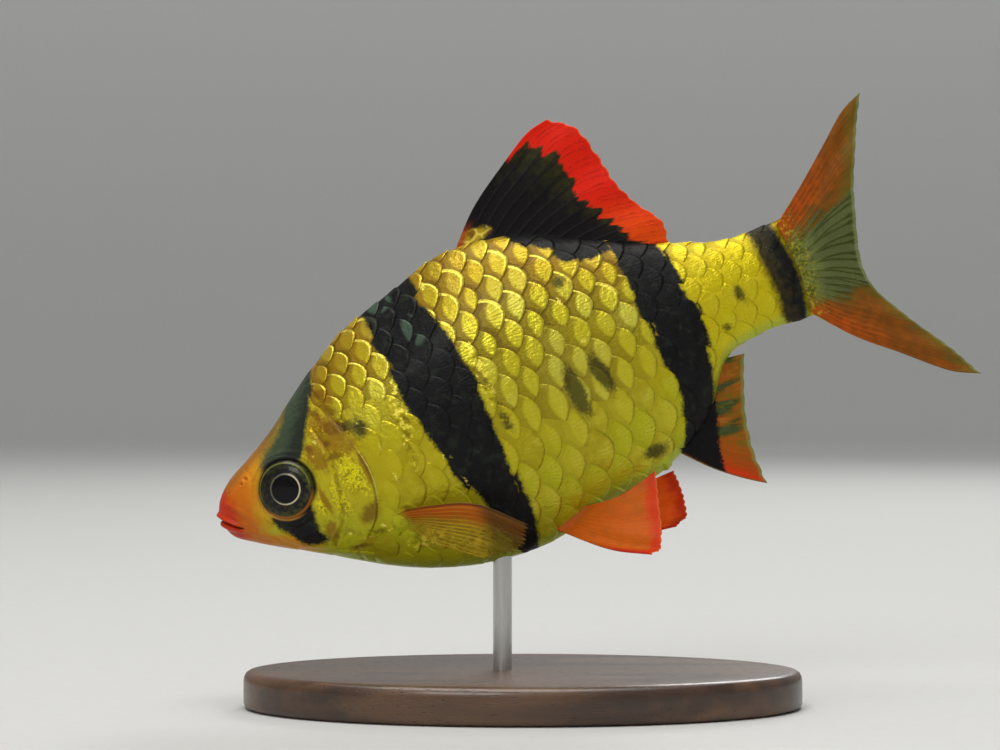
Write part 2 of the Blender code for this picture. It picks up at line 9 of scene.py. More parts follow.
import bpy
import numpy as np
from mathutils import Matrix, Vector


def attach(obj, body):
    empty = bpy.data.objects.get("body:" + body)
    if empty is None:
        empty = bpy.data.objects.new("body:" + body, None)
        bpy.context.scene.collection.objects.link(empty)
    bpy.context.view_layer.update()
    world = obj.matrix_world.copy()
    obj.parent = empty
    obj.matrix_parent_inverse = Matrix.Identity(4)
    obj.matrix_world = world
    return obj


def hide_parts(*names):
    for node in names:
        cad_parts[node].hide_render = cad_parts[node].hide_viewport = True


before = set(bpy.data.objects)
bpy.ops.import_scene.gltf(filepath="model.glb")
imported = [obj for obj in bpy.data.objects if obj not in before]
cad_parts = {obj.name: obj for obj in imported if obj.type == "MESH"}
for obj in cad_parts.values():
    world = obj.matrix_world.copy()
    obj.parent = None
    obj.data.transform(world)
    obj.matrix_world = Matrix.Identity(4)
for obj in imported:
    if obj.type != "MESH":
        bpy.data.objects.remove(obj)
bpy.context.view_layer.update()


# The stand
# A turned oval slab of dark hardwood, sanded, stained and waxed, with a drilled hole that
# holds one thin steel rod. The rod is drawn and brushed along its length.

MM = 0.001
BASE_LENGTH, BASE_WIDTH = 44.0, 26.0
BASE_EDGE = (  # in from the side, and up from the table
    (14.0, 0.0),
    (1.0, 0.0),
    (0.45, 0.04),
    (0.12, 0.2),
    (0.0, 0.5),
    (0.0, 2.2),
    (0.05, 2.5),
    (0.2, 2.78),
    (0.45, 2.94),
    (0.8, 3.0),
    (3.5, 3.0),
    (8.0, 3.0),
)
BASE_INNERMOST = 12.5  # no further in than this across the width, which is narrower
BASE_SEGMENTS = 160
WOOD_DARK = (0.030, 0.013, 0.006)
WOOD_PALE = (0.125, 0.058, 0.024)
WOOD_PORE = (0.012, 0.005, 0.003)
STEEL = (0.60, 0.60, 0.58)
STEEL_DULL = (0.42, 0.42, 0.41)


class Value:
    """A socket of a material's nodes. A sum on it adds the Math node that works it out."""

    def __init__(self, tree, socket=None):
        self.tree = tree
        self.socket = socket

    def node(self, kind, settings, sockets, output=0):
        """Adds a node: its settings first, then the values or links of its sockets."""
        made = self.tree.nodes.new(kind)
        for name, setting in settings.items():
            setattr(made, name, setting)
        for name, value in sockets.items():
            socket = made.inputs[name]
            if isinstance(value, Value):
                self.tree.links.new(value.socket, socket)
            elif socket.type == "RGBA":
                socket.default_value = (*value, 1.0)
            else:
                socket.default_value = value
        return Value(self.tree, made.outputs[output])

    def sum(self, operation, *terms):
        places = dict(enumerate(terms))
        return self.node("ShaderNodeMath", {"operation": operation}, places)

    def __add__(self, other):
        return self.sum("ADD", self, other)

    def __radd__(self, other):
        return self.sum("ADD", other, self)

    def __sub__(self, other):
        return self.sum("SUBTRACT", self, other)

    def __rsub__(self, other):
        return self.sum("SUBTRACT", other, self)

    def __mul__(self, other):
        return self.sum("MULTIPLY", self, other)

    def __rmul__(self, other):
        return self.sum("MULTIPLY", other, self)

    def sine(self):
        return self.sum("SINE", self)

    def size(self):
        return self.sum("ABSOLUTE", self)

    def most(self, other):
        return self.sum("MAXIMUM", self, other)

    def step(self, low, high):
        """0 below low and 1 above high, smooth between; the other way round if low is more."""
        return self.node(
            "ShaderNodeMapRange",
            {"interpolation_type": "SMOOTHSTEP"},
            {"Value": self, "From Min": low, "From Max": high},
        )

    def mix(self, first, second, mask):
        """The first colour where the mask is 0 and the second where it is 1.

        A Mix node's sockets share their names, so they go by number: 6 and 7 are its colours.
        """
        return self.node(
            "ShaderNodeMix", {"data_type": "RGBA"}, {0: mask, 6: first, 7: second}, output=2
        )

    def painted(self, colour, mask):
        """This colour with another laid over it where the mask is 1."""
        return self.mix(self, colour, mask)

    def attribute(self, name, output=2):
        """A number kept at each of the mesh's points, or a place with an output of 1."""
        return self.node("ShaderNodeAttribute", {"attribute_name": name}, {}, output)

    def fish_place(self):
        """The place on the level fish, in millimetres."""
        return self.attribute("at", 1)

    def world_place(self):
        """The place in metres."""
        return self.node("ShaderNodeTexCoord", {}, {}, output=3)

    def axis(self, number):
        """A place's x, y or z for a number of 0, 1 or 2."""
        return self.node("ShaderNodeSeparateXYZ", {}, {"Vector": self}, number)

    def stretched(self, scale):
        """A place with each axis stretched or squeezed."""
        return self.node("ShaderNodeVectorMath", {"operation": "MULTIPLY"}, {0: self, 1: scale})

    def noise(self, scale, detail=2.0):
        """Cloudy noise over a place, from about 0.3 to 0.7."""
        return self.node(
            "ShaderNodeTexNoise", {}, {"Vector": self, "Scale": scale, "Detail": detail}
        )

    def bump(self, height, depth):
        """The normal over a relief of that depth in millimetres."""
        return self.node("ShaderNodeBump", {}, {"Height": height, "Distance": depth * MM})


def start_material(name, **constants):
    """A new material with its shader's constants set, and a Value to build its nodes on."""
    made = bpy.data.materials.new(name)
    made.use_nodes = True
    shader = made.node_tree.nodes["Principled BSDF"]
    for key, value in constants.items():
        socket = key.replace("_", " ").title().replace("Ior", "IOR")
        shader.inputs[socket].default_value = value
    return made, Value(made.node_tree)


def feed(material, **values):
    """Links what varies over the surface into the material's shader."""
    tree = material.node_tree
    for name, value in values.items():
        socket = tree.nodes["Principled BSDF"].inputs[name.replace("_", " ").title()]
        tree.links.new(value.socket, socket)


def grid_faces(rows, columns, closed=False):
    """The four-sided faces of a grid of points, joined round its columns if it is closed."""
    gaps = columns if closed else columns - 1
    row, column = np.meshgrid(np.arange(rows - 1), np.arange(gaps), indexing="ij")
    after = (column + 1) % columns
    near = (row * columns + column, row * columns + after)
    far = ((row + 1) * columns + after, (row + 1) * columns + column)
    return np.stack([corner.ravel() for corner in (*near, *far)], axis=1)


def ring_cap(first, count):
    """The faces that close a ring of points, numbered from first."""
    near = first + np.arange(count // 2)
    far = first + count - 1 - np.arange(count // 2)
    return np.stack([near[:-1], near[1:], far[1:], far[:-1]], axis=1)


def tube_faces(rings, count):
    """The faces of rings joined in order and closed at both ends."""
    last = (rings - 1) * count
    wall = grid_faces(rings, count, closed=True)
    return np.vstack([wall, ring_cap(0, count)[:, ::-1], ring_cap(last, count)])


def add_piece(name, points, faces, material, attributes=None):
    """An object from points in metres, with its faces turned outwards."""
    faces = np.asarray(faces)
    a, b, c, d = (points[faces[:, k]] for k in range(4))
    volume = np.einsum("ij,ij->i", a, np.cross(b, c) + np.cross(c, d)).sum()
    if volume < 0:
        faces = faces[:, ::-1]
    mesh = bpy.data.meshes.new(name)
    mesh.vertices.add(len(points))
    mesh.vertices.foreach_set("co", points.astype(np.float32).ravel())
    mesh.loops.add(faces.size)
    mesh.loops.foreach_set("vertex_index", faces.astype(np.int32).ravel())
    mesh.polygons.add(len(faces))
    mesh.polygons.foreach_set("loop_start", np.arange(0, faces.size, 4, dtype=np.int32))
    mesh.update(calc_edges=True)
    for key, values in (attributes or {}).items():
        kind, field = ("FLOAT", "value") if values.ndim == 1 else ("FLOAT_VECTOR", "vector")
        layer = mesh.attributes.new(key, kind, "POINT")
        layer.data.foreach_set(field, values.astype(np.float32).ravel())
    mesh.shade_smooth()
    mesh.materials.append(material)
    made = bpy.data.objects.new(name, mesh)
    bpy.context.scene.collection.objects.link(made)
    return made


turn = np.linspace(0.0, 2 * math.pi, BASE_SEGMENTS, endpoint=False)
edge = np.array(BASE_EDGE)
base_points = np.stack(
    [
        (0.5 * BASE_LENGTH - edge[:, :1]) * np.cos(turn),
        (0.5 * BASE_WIDTH - np.minimum(edge[:, :1], BASE_INNERMOST)) * np.sin(turn),
        np.repeat(edge[:, 1:], BASE_SEGMENTS, axis=1),
    ],
    axis=-1,
).reshape(-1, 3)
base_faces = tube_faces(len(edge), BASE_SEGMENTS)

wood, start = start_material("stand_wood", coat_weight=0.35, coat_roughness=0.12)
place = start.world_place()
drift = place.stretched((55.0, 700.0, 700.0)).noise(1.0, 3.0)
year_rings = place.stretched((18.0, 160.0, 160.0)).noise(1.0) * 26.0 + drift * 3.0
pores = place.stretched((900.0, 9000.0, 9000.0)).noise(1.0, 1.0)
grain = (year_rings.sine() * 0.22 + 0.5 + (drift - 0.5) * 0.9).step(0.0, 1.0)
shade = start.mix(WOOD_DARK, WOOD_PALE, grain)
shade = shade.painted(WOOD_PORE, pores.step(0.62, 0.72) * 0.8)
feed(
    wood,
    base_color=shade,
    roughness=0.34 + grain * 0.1 + pores.step(0.62, 0.72) * 0.2,
    normal=start.bump(grain * 0.3 - pores.step(0.60, 0.74), 0.02),
)
base = add_piece("base", base_points * MM, base_faces, wood)
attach(base, "root")
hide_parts("stand_base")

steel, start = start_material("stand_steel", metallic=1.0)
strokes = start.world_place().stretched((26000.0, 26000.0, 300.0)).noise(1.0, 3.0)
feed(
    steel,
    base_color=start.mix(STEEL, STEEL_DULL, strokes.step(0.35, 0.8) * 0.6),
    roughness=0.2 + strokes * 0.22,
    normal=start.bump(strokes, 0.004),
)
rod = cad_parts["stand_rod"]
rod.data.materials.clear()
rod.data.materials.append(steel)


# The skin
# One hide from the lips to the root of the tail: soft and thin over the bones of the head,
# with lips, nostrils, the fold round each eye and the gill covers' edges raised in it.

PITCH = math.radians(22.0)
SNOUT_AT = np.array([-24.0, 0.0, 15.3])
STATIONS = (  # from the snout: distance, back, belly and half width
    (0.0, -0.5, -0.5, 0.0),
    (0.3, 0.6, -1.9, 0.95),
    (1.8, 2.1, -3.2, 1.9),
    (4.0, 3.25, -4.6, 2.7),
    (6.2, 4.5, -5.9, 3.3),
    (8.5, 6.15, -7.35, 3.8),
    (11.0, 7.85, -8.85, 4.25),
    (14.2, 9.65, -10.35, 4.6),
    (18.5, 11.0, -11.6, 4.8),
    (24.5, 12.45, -11.8, 4.5),
    (28.5, 12.0, -10.75, 4.0),
    (34.5, 9.4, -9.75, 3.05),
    (39.3, 7.1, -6.8, 2.2),
    (41.4, 6.35, -4.0, 1.9),
    (45.0, 5.15, -2.9, 1.5),
    (49.3, 5.0, -3.2, 1.0),
)
WIDEST_AT, NAPE_RIDGE, BELLY_KEEL = 0.49, 1.35, 1.12
STALK_END, FLESH_END = 49.3, 51.1
GILL_LINE = (  # the gill cover's rear edge: height, and distance from the snout
    (-6.9, 9.3),
    (-6.0, 10.7),
    (-5.2, 11.6),
    (-3.8, 12.4),
    (-2.5, 12.72),
    (-1.0, 12.75),
    (0.4, 12.5),
    (1.8, 12.05),
    (3.2, 11.5),
    (4.5, 10.9),
)
COVER_RIDGE = ((9.3, 3.4), (9.75, 1.6), (9.7, -0.4), (9.35, -2.6), (8.7, -4.3), (7.6, -5.4))
COVER_GROOVE = ((9.6, 3.2), (10.05, 1.5), (10.0, -0.5), (9.65, -2.8), (8.95, -4.55), (7.8, -5.75))
EYE_AT, EYE_RADIUS = (5.84, -0.19), 2.3
SOCKET_RADIUS, SOCKET_DEPTH, EYE_RIM_LEVEL = 2.02, 1.1, -0.36
LID, BROW_FOLD, BROW_GROOVE = (2.48, 0.12), (2.88, 0.11), (2.70, 0.08)  # radius and width
MOUTH_FRONT, MOUTH_CORNER = (0.0, -0.62), (1.45, -1.85)
MOUTH_ARCH = 0.12  # how much higher the mouth meets the snout's tip
MOUTH_LINE = ((0.0, -0.5), (0.1, -0.6), (0.25, -0.79), MOUTH_CORNER)
LIPS = ((0.40, 0.25), (-0.38, 0.23))  # how far off the mouth's line, and height
MOUTH_DEPTH = 0.50
HEAD_FOLDS = (  # line, width and height
    (((0.75, 0.15), (1.15, -0.35), (1.7, -0.95), (2.05, -1.55), (2.25, -2.05)), 0.09, -0.075),
    (((1.05, 0.45), (1.6, -0.2), (2.2, -0.9), (2.65, -1.6), (2.8, -2.3)), 0.16, 0.055),
    (((2.3, -2.1), (3.1, -2.9), (4.1, -4.0), (5.0, -4.85)), 0.12, -0.05),
    (((1.3, -2.15), (2.3, -3.0), (3.4, -3.75), (4.6, -4.55)), 0.12, -0.035),
    (((3.3, 2.55), (3.6, 1.9), (3.55, 1.2), (3.3, 0.3), (3.2, -0.6)), 0.12, -0.04),
    (COVER_RIDGE, 0.13, 0.10),
    (COVER_GROOVE, 0.12, -0.09),
    (((8.35, 1.5), (8.75, 0.3), (8.8, -1.3), (8.45, -2.9), (7.6, -4.1)), 0.10, -0.06),
    (((7.4, -6.05), (8.8, -6.75), (10.4, -7.5), (11.9, -8.0)), 0.16, 0.06),
    (((7.2, -6.45), (8.6, -7.2), (10.2, -8.0), (11.8, -8.6)), 0.11, -0.05),
    (((4.9, -5.05), (6.3, -5.6), (7.9, -6.25), (9.6, -6.7), (11.2, -6.55)), 0.12, -0.06),
)
NOSTRIL_MOUND = (2.9, 1.55)
NOSTRILS = ((2.7, 1.45, 0.10), (3.15, 1.7, 0.13))  # place and size
PECTORAL_MOUND = ((13.3, -6.0, 0.9, 0.8, 0.0),)
HEAD_END = 17.0
VENT_AT = 34.25
COAT_DEPTH, BARE_DEPTH = 0.12, 0.02
SKIN_RINGS, SKIN_SEGMENTS = (170, 168), 292
SNOUT_TIP, RINGS_CLOSER_TO = 0.0004, 13.6

# Outlines of the markings, seen from the left side
BARS = (
    (
        (16.3, 14), (16.3, 10.2), (16.8, 6.7), (17.0, 4.0), (17.5, 0.9), (18.2, -1.6), (19.0, -4.7),
        (19.8, -6.5), (20.2, -9.0), (20.7, -10.4), (21.0, -13.5), (22.6, -13.5), (22.7, -11.0),
        (22.9, -9.0), (22.9, -5.6), (23.0, -2.2), (22.9, 1.7), (22.2, 5.3), (21.4, 8.6), (20.6, 11.2),
        (20.4, 14),
    ),
    (
        (36.4, 9.5), (36.5, 7.6), (36.7, 4.2), (37.0, 0.6), (37.2, -2.9), (37.2, -5.4), (36.4, -7.6),
        (35.6, -9.2), (38.3, -12.5), (38.6, -10.1), (39.5, -7.2), (40.5, -4.2), (41.0, -1.0),
        (40.7, 2.5), (40.1, 6.2), (39.9, 9.0),
    ),
    (
        (46.6, 6.5), (46.8, 4.6), (47.1, 2.0), (47.3, 0.0), (47.2, -2.5), (47.6, -4.5), (48.9, -4.5),
        (48.9, -3.0), (49.3, -1.5), (49.6, 0.0), (49.5, 2.0), (49.0, 4.3), (48.6, 6.5),
    ),
    (
        (28.4, 14.0), (28.5, 12.3), (30.1, 10.5), (32.1, 9.1), (32.6, 8.1), (36.4, 7.7), (36.5, 14.0),
    ),
    (
        (4.0, -2.0), (4.3, -2.9), (5.0, -3.8), (5.4, -4.6), (5.9, -5.0), (7.0, -5.2), (7.5, -5.1),
        (7.1, -4.2), (7.2, -3.2), (7.3, -2.1), (5.8, -1.0),
    ),
)
SLATE = (
    (4.6, 2.2), (5.1, 3.0), (5.8, 3.5), (6.6, 4.1), (7.3, 4.9), (7.8, 6.2), (10.6, 9.0), (11.5, 9.0),
    (10.9, 7.3), (10.3, 6.0), (9.8, 4.8), (9.2, 3.8), (8.7, 2.8), (8.1, 1.8), (7.0, 1.0), (5.0, 1.0),
)
SPOTS = (  # centre, half length, half height, lean
    (29.7, -1.5, 0.66, 2.1, 0.05),
    (32.0, -0.9, 0.66, 1.75, 0.15),
    (23.8, -1.65, 0.42, 1.05, 0.1),
    (31.6, 6.8, 0.42, 0.42, 0.0),
    (44.5, 0.6, 0.26, 0.5, 0.1),
    (42.6, -1.4, 0.3, 0.26, 0.0),
    (33.7, -8.3, 0.75, 0.35, 0.1),
)
# Soft patches: centre, half length, half height, lean
SHOULDER_SPOT = ((13.05, 1.95, 0.42, 0.62, 0.1),)
OLIVE = ((12.95, 2.05, 0.95, 1.0, 0.2), (12.2, 2.6, 0.8, 0.4, 0.0))
# Places in the dark marks painted with a green sheen
GREEN_SHEEN_SCALES = (
    (13.2, 2.25, 0.42, 0.55, 0.0),
    (19.7, 7.6, 0.9, 1.5, 0.1),
    (17.9, 10.6, 1.2, 0.9, 0.0),
)
ORANGE = (
    (9.1, 1.2, 0.8, 1.3, 0.2),
    (10.9, 2.3, 1.2, 1.1, 0.3),
    (10.7, 2.5, 1.6, 2.3, 0.4),
    (12.35, -0.9, 0.3, 1.3, 0.0),
    (8.45, -2.2, 0.26, 1.3, 0.1),
    (11.2, 5.4, 0.7, 0.8, 0.5),
    (8.0, -4.6, 0.5, 0.9, -0.2),
)
BROWN = (
    (11.35, -4.35, 0.95, 0.85, -0.4),
    (11.0, 3.0, 1.0, 0.9, 0.4),
    (11.3, 4.2, 0.5, 0.85, 0.5),
    (8.75, 2.0, 0.28, 0.5, 0.2),
    (10.35, 0.75, 0.8, 0.34, 0.2),
    (10.2, 1.9, 0.35, 0.3, 0.0),
    (10.1, 4.3, 0.35, 0.9, 0.5),
    (10.75, 5.9, 0.16, 1.1, 0.45),
    (9.6, -6.55, 1.1, 0.25, -0.4),
    (14.0, -5.0, 0.5, 0.2, 0.0),
)
# Patches of painted sparkle: a painted sheen, painted glints and painted shade between them
PAINTED_SPARKLE = (
    (11.2, -0.9, 1.0, 1.9, 0.25),
    (8.0, -2.4, 0.36, 0.85, 0.0),
    (9.6, -2.6, 0.55, 1.5, 0.1),
    (11.4, -6.0, 1.3, 0.26, 0.1),
    (9.9, 3.1, 0.9, 0.8, 0.4),
    (15.5, -7.9, 2.6, 0.8, 0.6),
    (18.6, -9.4, 2.2, 0.9, 0.4),
    (16.4, 1.5, 0.55, 3.6, -0.1),
    (23.4, 2.5, 0.4, 3.2, 0.0),
)
GLINTS = (
    (9.35, 2.35, 0.22, 0.26, 0.2),
    (8.85, 1.35, 0.1, 0.14, 0.0),
    (9.25, -5.3, 0.17, 0.17, 0.0),
    (9.8, -4.85, 0.09, 0.1, 0.0),
    (12.95, 2.5, 0.13, 0.16, 0.0),
    (10.4, -6.1, 0.7, 0.09, 0.3),
    (11.8, -5.6, 0.5, 0.07, -0.2),
    (25.7, -11.02, 1.1, 0.1, 0.0),
    (24.6, -11.25, 0.14, 0.26, -0.6),
    (20.4, -10.4, 0.22, 0.3, 0.3),
    (18.9, -10.1, 0.16, 0.3, -0.4),
    (37.0, -4.8, 0.1, 0.2, 0.0),
    (34.9, -8.1, 0.1, 0.1, 0.0),
    (21.6, 10.5, 0.3, 0.5, 0.0),
    (25.75, 6.8, 0.18, 0.4, 0.3),
    (31.1, 5.3, 0.2, 0.55, 0.3),
    (31.7, 1.7, 0.4, 0.16, 0.0),
    (14.05, 0.05, 0.09, 0.35, 0.1),
    (14.25, -2.55, 0.09, 0.6, 0.15),
    (18.35, -2.5, 0.09, 0.6, 0.27),
    (19.1, -4.75, 0.1, 0.5, 0.3),
)


def swimming(points):
    """Points of the level fish, in millimetres, put in its pose over the stand, in metres."""
    x, y, z = np.moveaxis(points, -1, 0)
    sine, cosine = math.sin(PITCH), math.cos(PITCH)
    tipped = np.stack([x * cosine - z * sine, y, x * sine + z * cosine], axis=-1)
    return (tipped + SNOUT_AT) * MM


def smooth_curve(knots, values):
    """The smooth curve through values at rising knots, as a function of many places."""
    knots, values = np.asarray(knots, float), np.asarray(values, float)
    slopes = np.gradient(values, knots, axis=0)

    def read(x):
        x = np.asarray(x, float)
        k = np.clip(np.searchsorted(knots, x, side="right") - 1, 0, len(knots) - 2)
        gap = knots[k + 1] - knots[k]
        s = (x - knots[k]) / gap
        if values.ndim > 1:
            s, gap = s[..., None], gap[..., None]
        return (
            (2 * s**3 - 3 * s**2 + 1) * values[k]
            + (s**3 - 2 * s**2 + s) * gap * slopes[k]
            + (3 * s**2 - 2 * s**3) * values[k + 1]
            + (s**3 - s**2) * gap * slopes[k + 1]
        )

    return read


def smooth_step(low, high, x):
    """0 below low and 1 above high, smooth between; the other way round if low is more."""
    s = np.clip((x - low) / (high - low), 0.0, 1.0)
    return s * s * (3 - 2 * s)


def hump(distance, width):
    """1 at no distance, falling away smoothly over a width."""
    return np.exp(-((distance / width) ** 2))


station_roots = [math.sqrt(row[0]) for row in STATIONS]
BACK, BELLY, HALF_WIDTH = (
    smooth_curve(station_roots, [row[k] for row in STATIONS]) for k in (1, 2, 3)
)


def back(x):
    """The height of the back's outline."""
    past = np.maximum(x - STALK_END, 0.0)
    return BACK(np.sqrt(np.clip(x, 0.0, STALK_END))) + 0.12 * past


def belly(x):
    """The height of the belly's outline."""
    past = np.maximum(x - STALK_END, 0.0)
    return BELLY(np.sqrt(np.clip(x, 0.0, STALK_END))) - 0.18 * past


def half_width(x):
    taper = 1.0 - 0.92 * smooth_step(STALK_END - 1.2, FLESH_END, x)
    return HALF_WIDTH(np.sqrt(np.clip(x, 0.0, STALK_END))) * taper


def back_ridge(x):
    return 1.0 + (NAPE_RIDGE - 1.0) * smooth_step(2.0, 12.0, x)


def body_points(x, angle):
    """The body at distances from the snout and angles down from the back, left side first."""
    top, bottom = back(x), belly(x)
    middle = bottom + WIDEST_AT * (top - bottom)
    upper = np.cos(angle) > 0
    reach = np.where(upper, top - middle, middle - bottom)
    power = np.where(upper, back_ridge(x), BELLY_KEEL)
    out = np.abs(np.sin(angle)) ** power * half_width(x)
    return np.stack(
        [x + 0 * angle, -np.sign(np.sin(angle)) * out, middle + reach * np.cos(angle)], axis=-1
    )


def side(x, z):
    """How far the skin lies from the middle plane at a place seen from the side."""
    top, bottom = back(x), belly(x)
    middle = bottom + WIDEST_AT * (top - bottom)
    upper = z > middle
    share = np.where(upper, (z - middle) / (top - middle), (middle - z) / (middle - bottom))
    power = np.where(upper, back_ridge(x), BELLY_KEEL)
    return half_width(x) * np.maximum(1 - share * share, 0.0) ** (power / 2)


def side_normal(x, z):
    """The direction straight out of the left side at a place seen from the side."""
    step = 0.05
    out = np.array([
        -(side(x + step, z) - side(x - step, z)) / (2 * step),
        -1.0,
        -(side(x, z + step) - side(x, z - step)) / (2 * step),
    ])
    return out / np.linalg.norm(out)


def gill_line(z):
    """How far from the snout the gill cover's rear edge is, at a height."""
    heights, places = zip(*GILL_LINE)
    return smooth_curve(heights, places)(np.clip(z, heights[0], heights[-1]))


def line_distance(u, v, line):
    """How far places lie from a line of points."""
    nearest = np.full(np.shape(u), 1e9)
    for (u0, v0), (u1, v1) in zip(line[:-1], line[1:]):
        du, dv = u1 - u0, v1 - v0
        s = np.clip(((u - u0) * du + (v - v0) * dv) / (du * du + dv * dv), 0.0, 1.0)
        nearest = np.minimum(nearest, np.hypot(u - u0 - s * du, v - v0 - s * dv))
    return nearest


def outline_depth(u, v, outline):
    """How deep places lie inside an outline, and below zero outside it."""
    closed = (*outline, outline[0])
    inside = np.zeros(np.shape(u), bool)
    for (u0, v0), (u1, v1) in zip(closed[:-1], closed[1:]):
        crosses = (v0 > v) != (v1 > v)
        inside ^= crosses & (u < (u1 - u0) * (v - v0) / (v1 - v0 + 1e-12) + u0)
    return np.where(inside, 1.0, -1.0) * line_distance(u, v, closed)


def oval_shares(u, v, oval):
    """Places from the middle of a leaning oval, as shares of its half length and half height."""
    middle_u, middle_v, long, high, lean = oval
    return (u - middle_u + lean * (v - middle_v)) / long, (v - middle_v) / high


def patch_depth(u, v, ovals):
    """How deep places lie in any of some leaning ovals, roughly, and below zero outside."""
    depths = [(1 - np.hypot(*oval_shares(u, v, oval))) * min(oval[2:4]) for oval in ovals]
    return np.max(depths, axis=0)


def glow(u, v, ovals):
    """A soft patch, 1 at its middle, for each of some leaning ovals."""
    total = np.zeros(np.shape(u))
    for oval in ovals:
        share_u, share_v = oval_shares(u, v, oval)
        total = np.maximum(total, np.exp(-(share_u**2) - share_v**2))
    return total


def markings(u, v):
    """The fish's colour pattern, with its patches of painted sparkle, sheen and glints, as named
    values at places seen from the side.
    """
    bar = np.max([outline_depth(u, v, outline) for outline in BARS], axis=0)
    top, bottom = back(u), belly(u)
    height = (v - bottom) / np.maximum(top - bottom, 0.2)
    brow_side = 0.81 * (u - 6.0) - 0.58 * (v - 1.8)
    return {
        "bar": bar,
        "slate": outline_depth(u, v, SLATE) / (1 + 1.6 * smooth_step(0.8, -0.9, brow_side)),
        "spot": np.maximum(patch_depth(u, v, SPOTS), patch_depth(u, v, SHOULDER_SPOT) - 0.1),
        "green": glow(u, v, GREEN_SHEEN_SCALES),
        "orange": glow(u, v, ORANGE),
        "brown": glow(u, v, BROWN),
        "olive": glow(u, v, OLIVE),
        "bright": glow(u, v, PAINTED_SPARKLE),
        "glint": glow(u, v, GLINTS),
        "height": height,
        "from_back": top - v,
        "from_belly": v - bottom,
    }


def skin_relief(points):
    """How far each point of the head and body is raised, from its place seen from the side."""
    x, _, z = points.T
    raised = np.zeros(len(points))
    (x0, z0), (x1, z1) = MOUTH_FRONT, MOUTH_CORNER
    share = np.clip((x - x0) / (x1 - x0), 0.0, 2.0)
    off = z - (z0 + (z1 - z0) * (x - x0) / (x1 - x0)) - MOUTH_ARCH * hump(x, 0.25)
    fade = 1 - smooth_step(0.75, 1.15, share)
    spread = 1 - 0.4 * np.minimum(share, 1.0)
    for middle, tall in LIPS:
        raised += tall * fade * hump(off - middle * spread, 0.25 * spread)
    cleft = 1 - smooth_step(0.9, 1.1, share)
    raised -= MOUTH_DEPTH * cleft * hump(off, 0.085)

    head = x < HEAD_END
    u, v = x[head], z[head]
    folds = np.zeros(len(u))
    for line, width, tall in HEAD_FOLDS:
        folds += tall * hump(line_distance(u, v, line), width)
    folds += 0.08 * hump(np.hypot(u - NOSTRIL_MOUND[0], v - NOSTRIL_MOUND[1]), 0.5)
    for nostril_u, nostril_v, size in NOSTRILS:
        distance = np.hypot(u - nostril_u, v - nostril_v)
        folds -= 0.26 * hump(distance, size)
        folds += 0.025 * hump(distance - 1.9 * size, 0.6 * size)
    behind = u - (gill_line(v) - 0.12)
    cover = smooth_step(-6.8, -5.6, v) * (1 - smooth_step(2.4, 4.2, v))
    plate = smooth_step(-2.6, -0.4, behind) * (1 - smooth_step(-0.05, 0.06, behind))
    folds += 0.09 * cover * plate
    folds -= 0.16 * cover * hump(behind - 0.13, 0.13)
    folds += 0.04 * cover * hump(behind + 0.22, 0.14)
    folds += 0.30 * glow(u, v, PECTORAL_MOUND)
    raised[head] += folds

    low = hump(z - belly(x), 0.9)
    raised += 0.42 * low * hump(x - VENT_AT, 0.42)
    raised -= 0.10 * low * hump(x - VENT_AT, 0.14)
    return raised


def eye_axes(hand):
    """The middle of an eye on the skin, and its directions along, up and out."""
    x, z = EYE_AT
    out = side_normal(x, z)
    along = np.array([1.0, 0.0, 0.0]) - out * out[0]
    along /= np.linalg.norm(along)
    up = np.cross(along, out)
    up *= np.sign(up[2])
    centre = np.array([x, -side(x, z), z])
    flip = np.array([1.0, -hand, 1.0])
    return centre * flip, along * flip, up * flip, out * flip


share = np.linspace(0.0, 1.0, SKIN_RINGS[0], endpoint=False)
rings_x = np.concatenate([
    SNOUT_TIP + RINGS_CLOSER_TO * (0.45 * share**2 + 0.55 * share),
    np.linspace(RINGS_CLOSER_TO, FLESH_END, SKIN_RINGS[1]),
])
ring_angles = np.linspace(0.0, 2 * math.pi, SKIN_SEGMENTS, endpoint=False)
hide = body_points(rings_x[:, None], ring_angles[None, :])
along = np.gradient(hide, axis=0)
around = np.roll(hide, -1, axis=1) - np.roll(hide, 1, axis=1)
normals = np.cross(around, along)
normals /= np.maximum(np.linalg.norm(normals, axis=2, keepdims=True), 1e-9)
normals[0] = (-1.0, 0.0, 0.0)
hide, normals = hide.reshape(-1, 3), normals.reshape(-1, 3)
hide_x, hide_z = hide[:, 0], hide[:, 2]

SCALES_FROM = (
    (-9.0, 10.6), (-6.6, 10.7), (-5.4, 11.8), (-4.0, 12.8), (-2.4, 13.15), (1.0, 13.2), (2.6, 12.9),
    (3.5, 12.0), (4.4, 11.0), (5.2, 10.3), (6.2, 10.2), (7.2, 10.8), (9.5, 12.2),
)


def scales_from(z):
    """Where the scales begin behind the head, at a height."""
    heights, places = zip(*SCALES_FROM)
    return np.interp(z, heights, places)


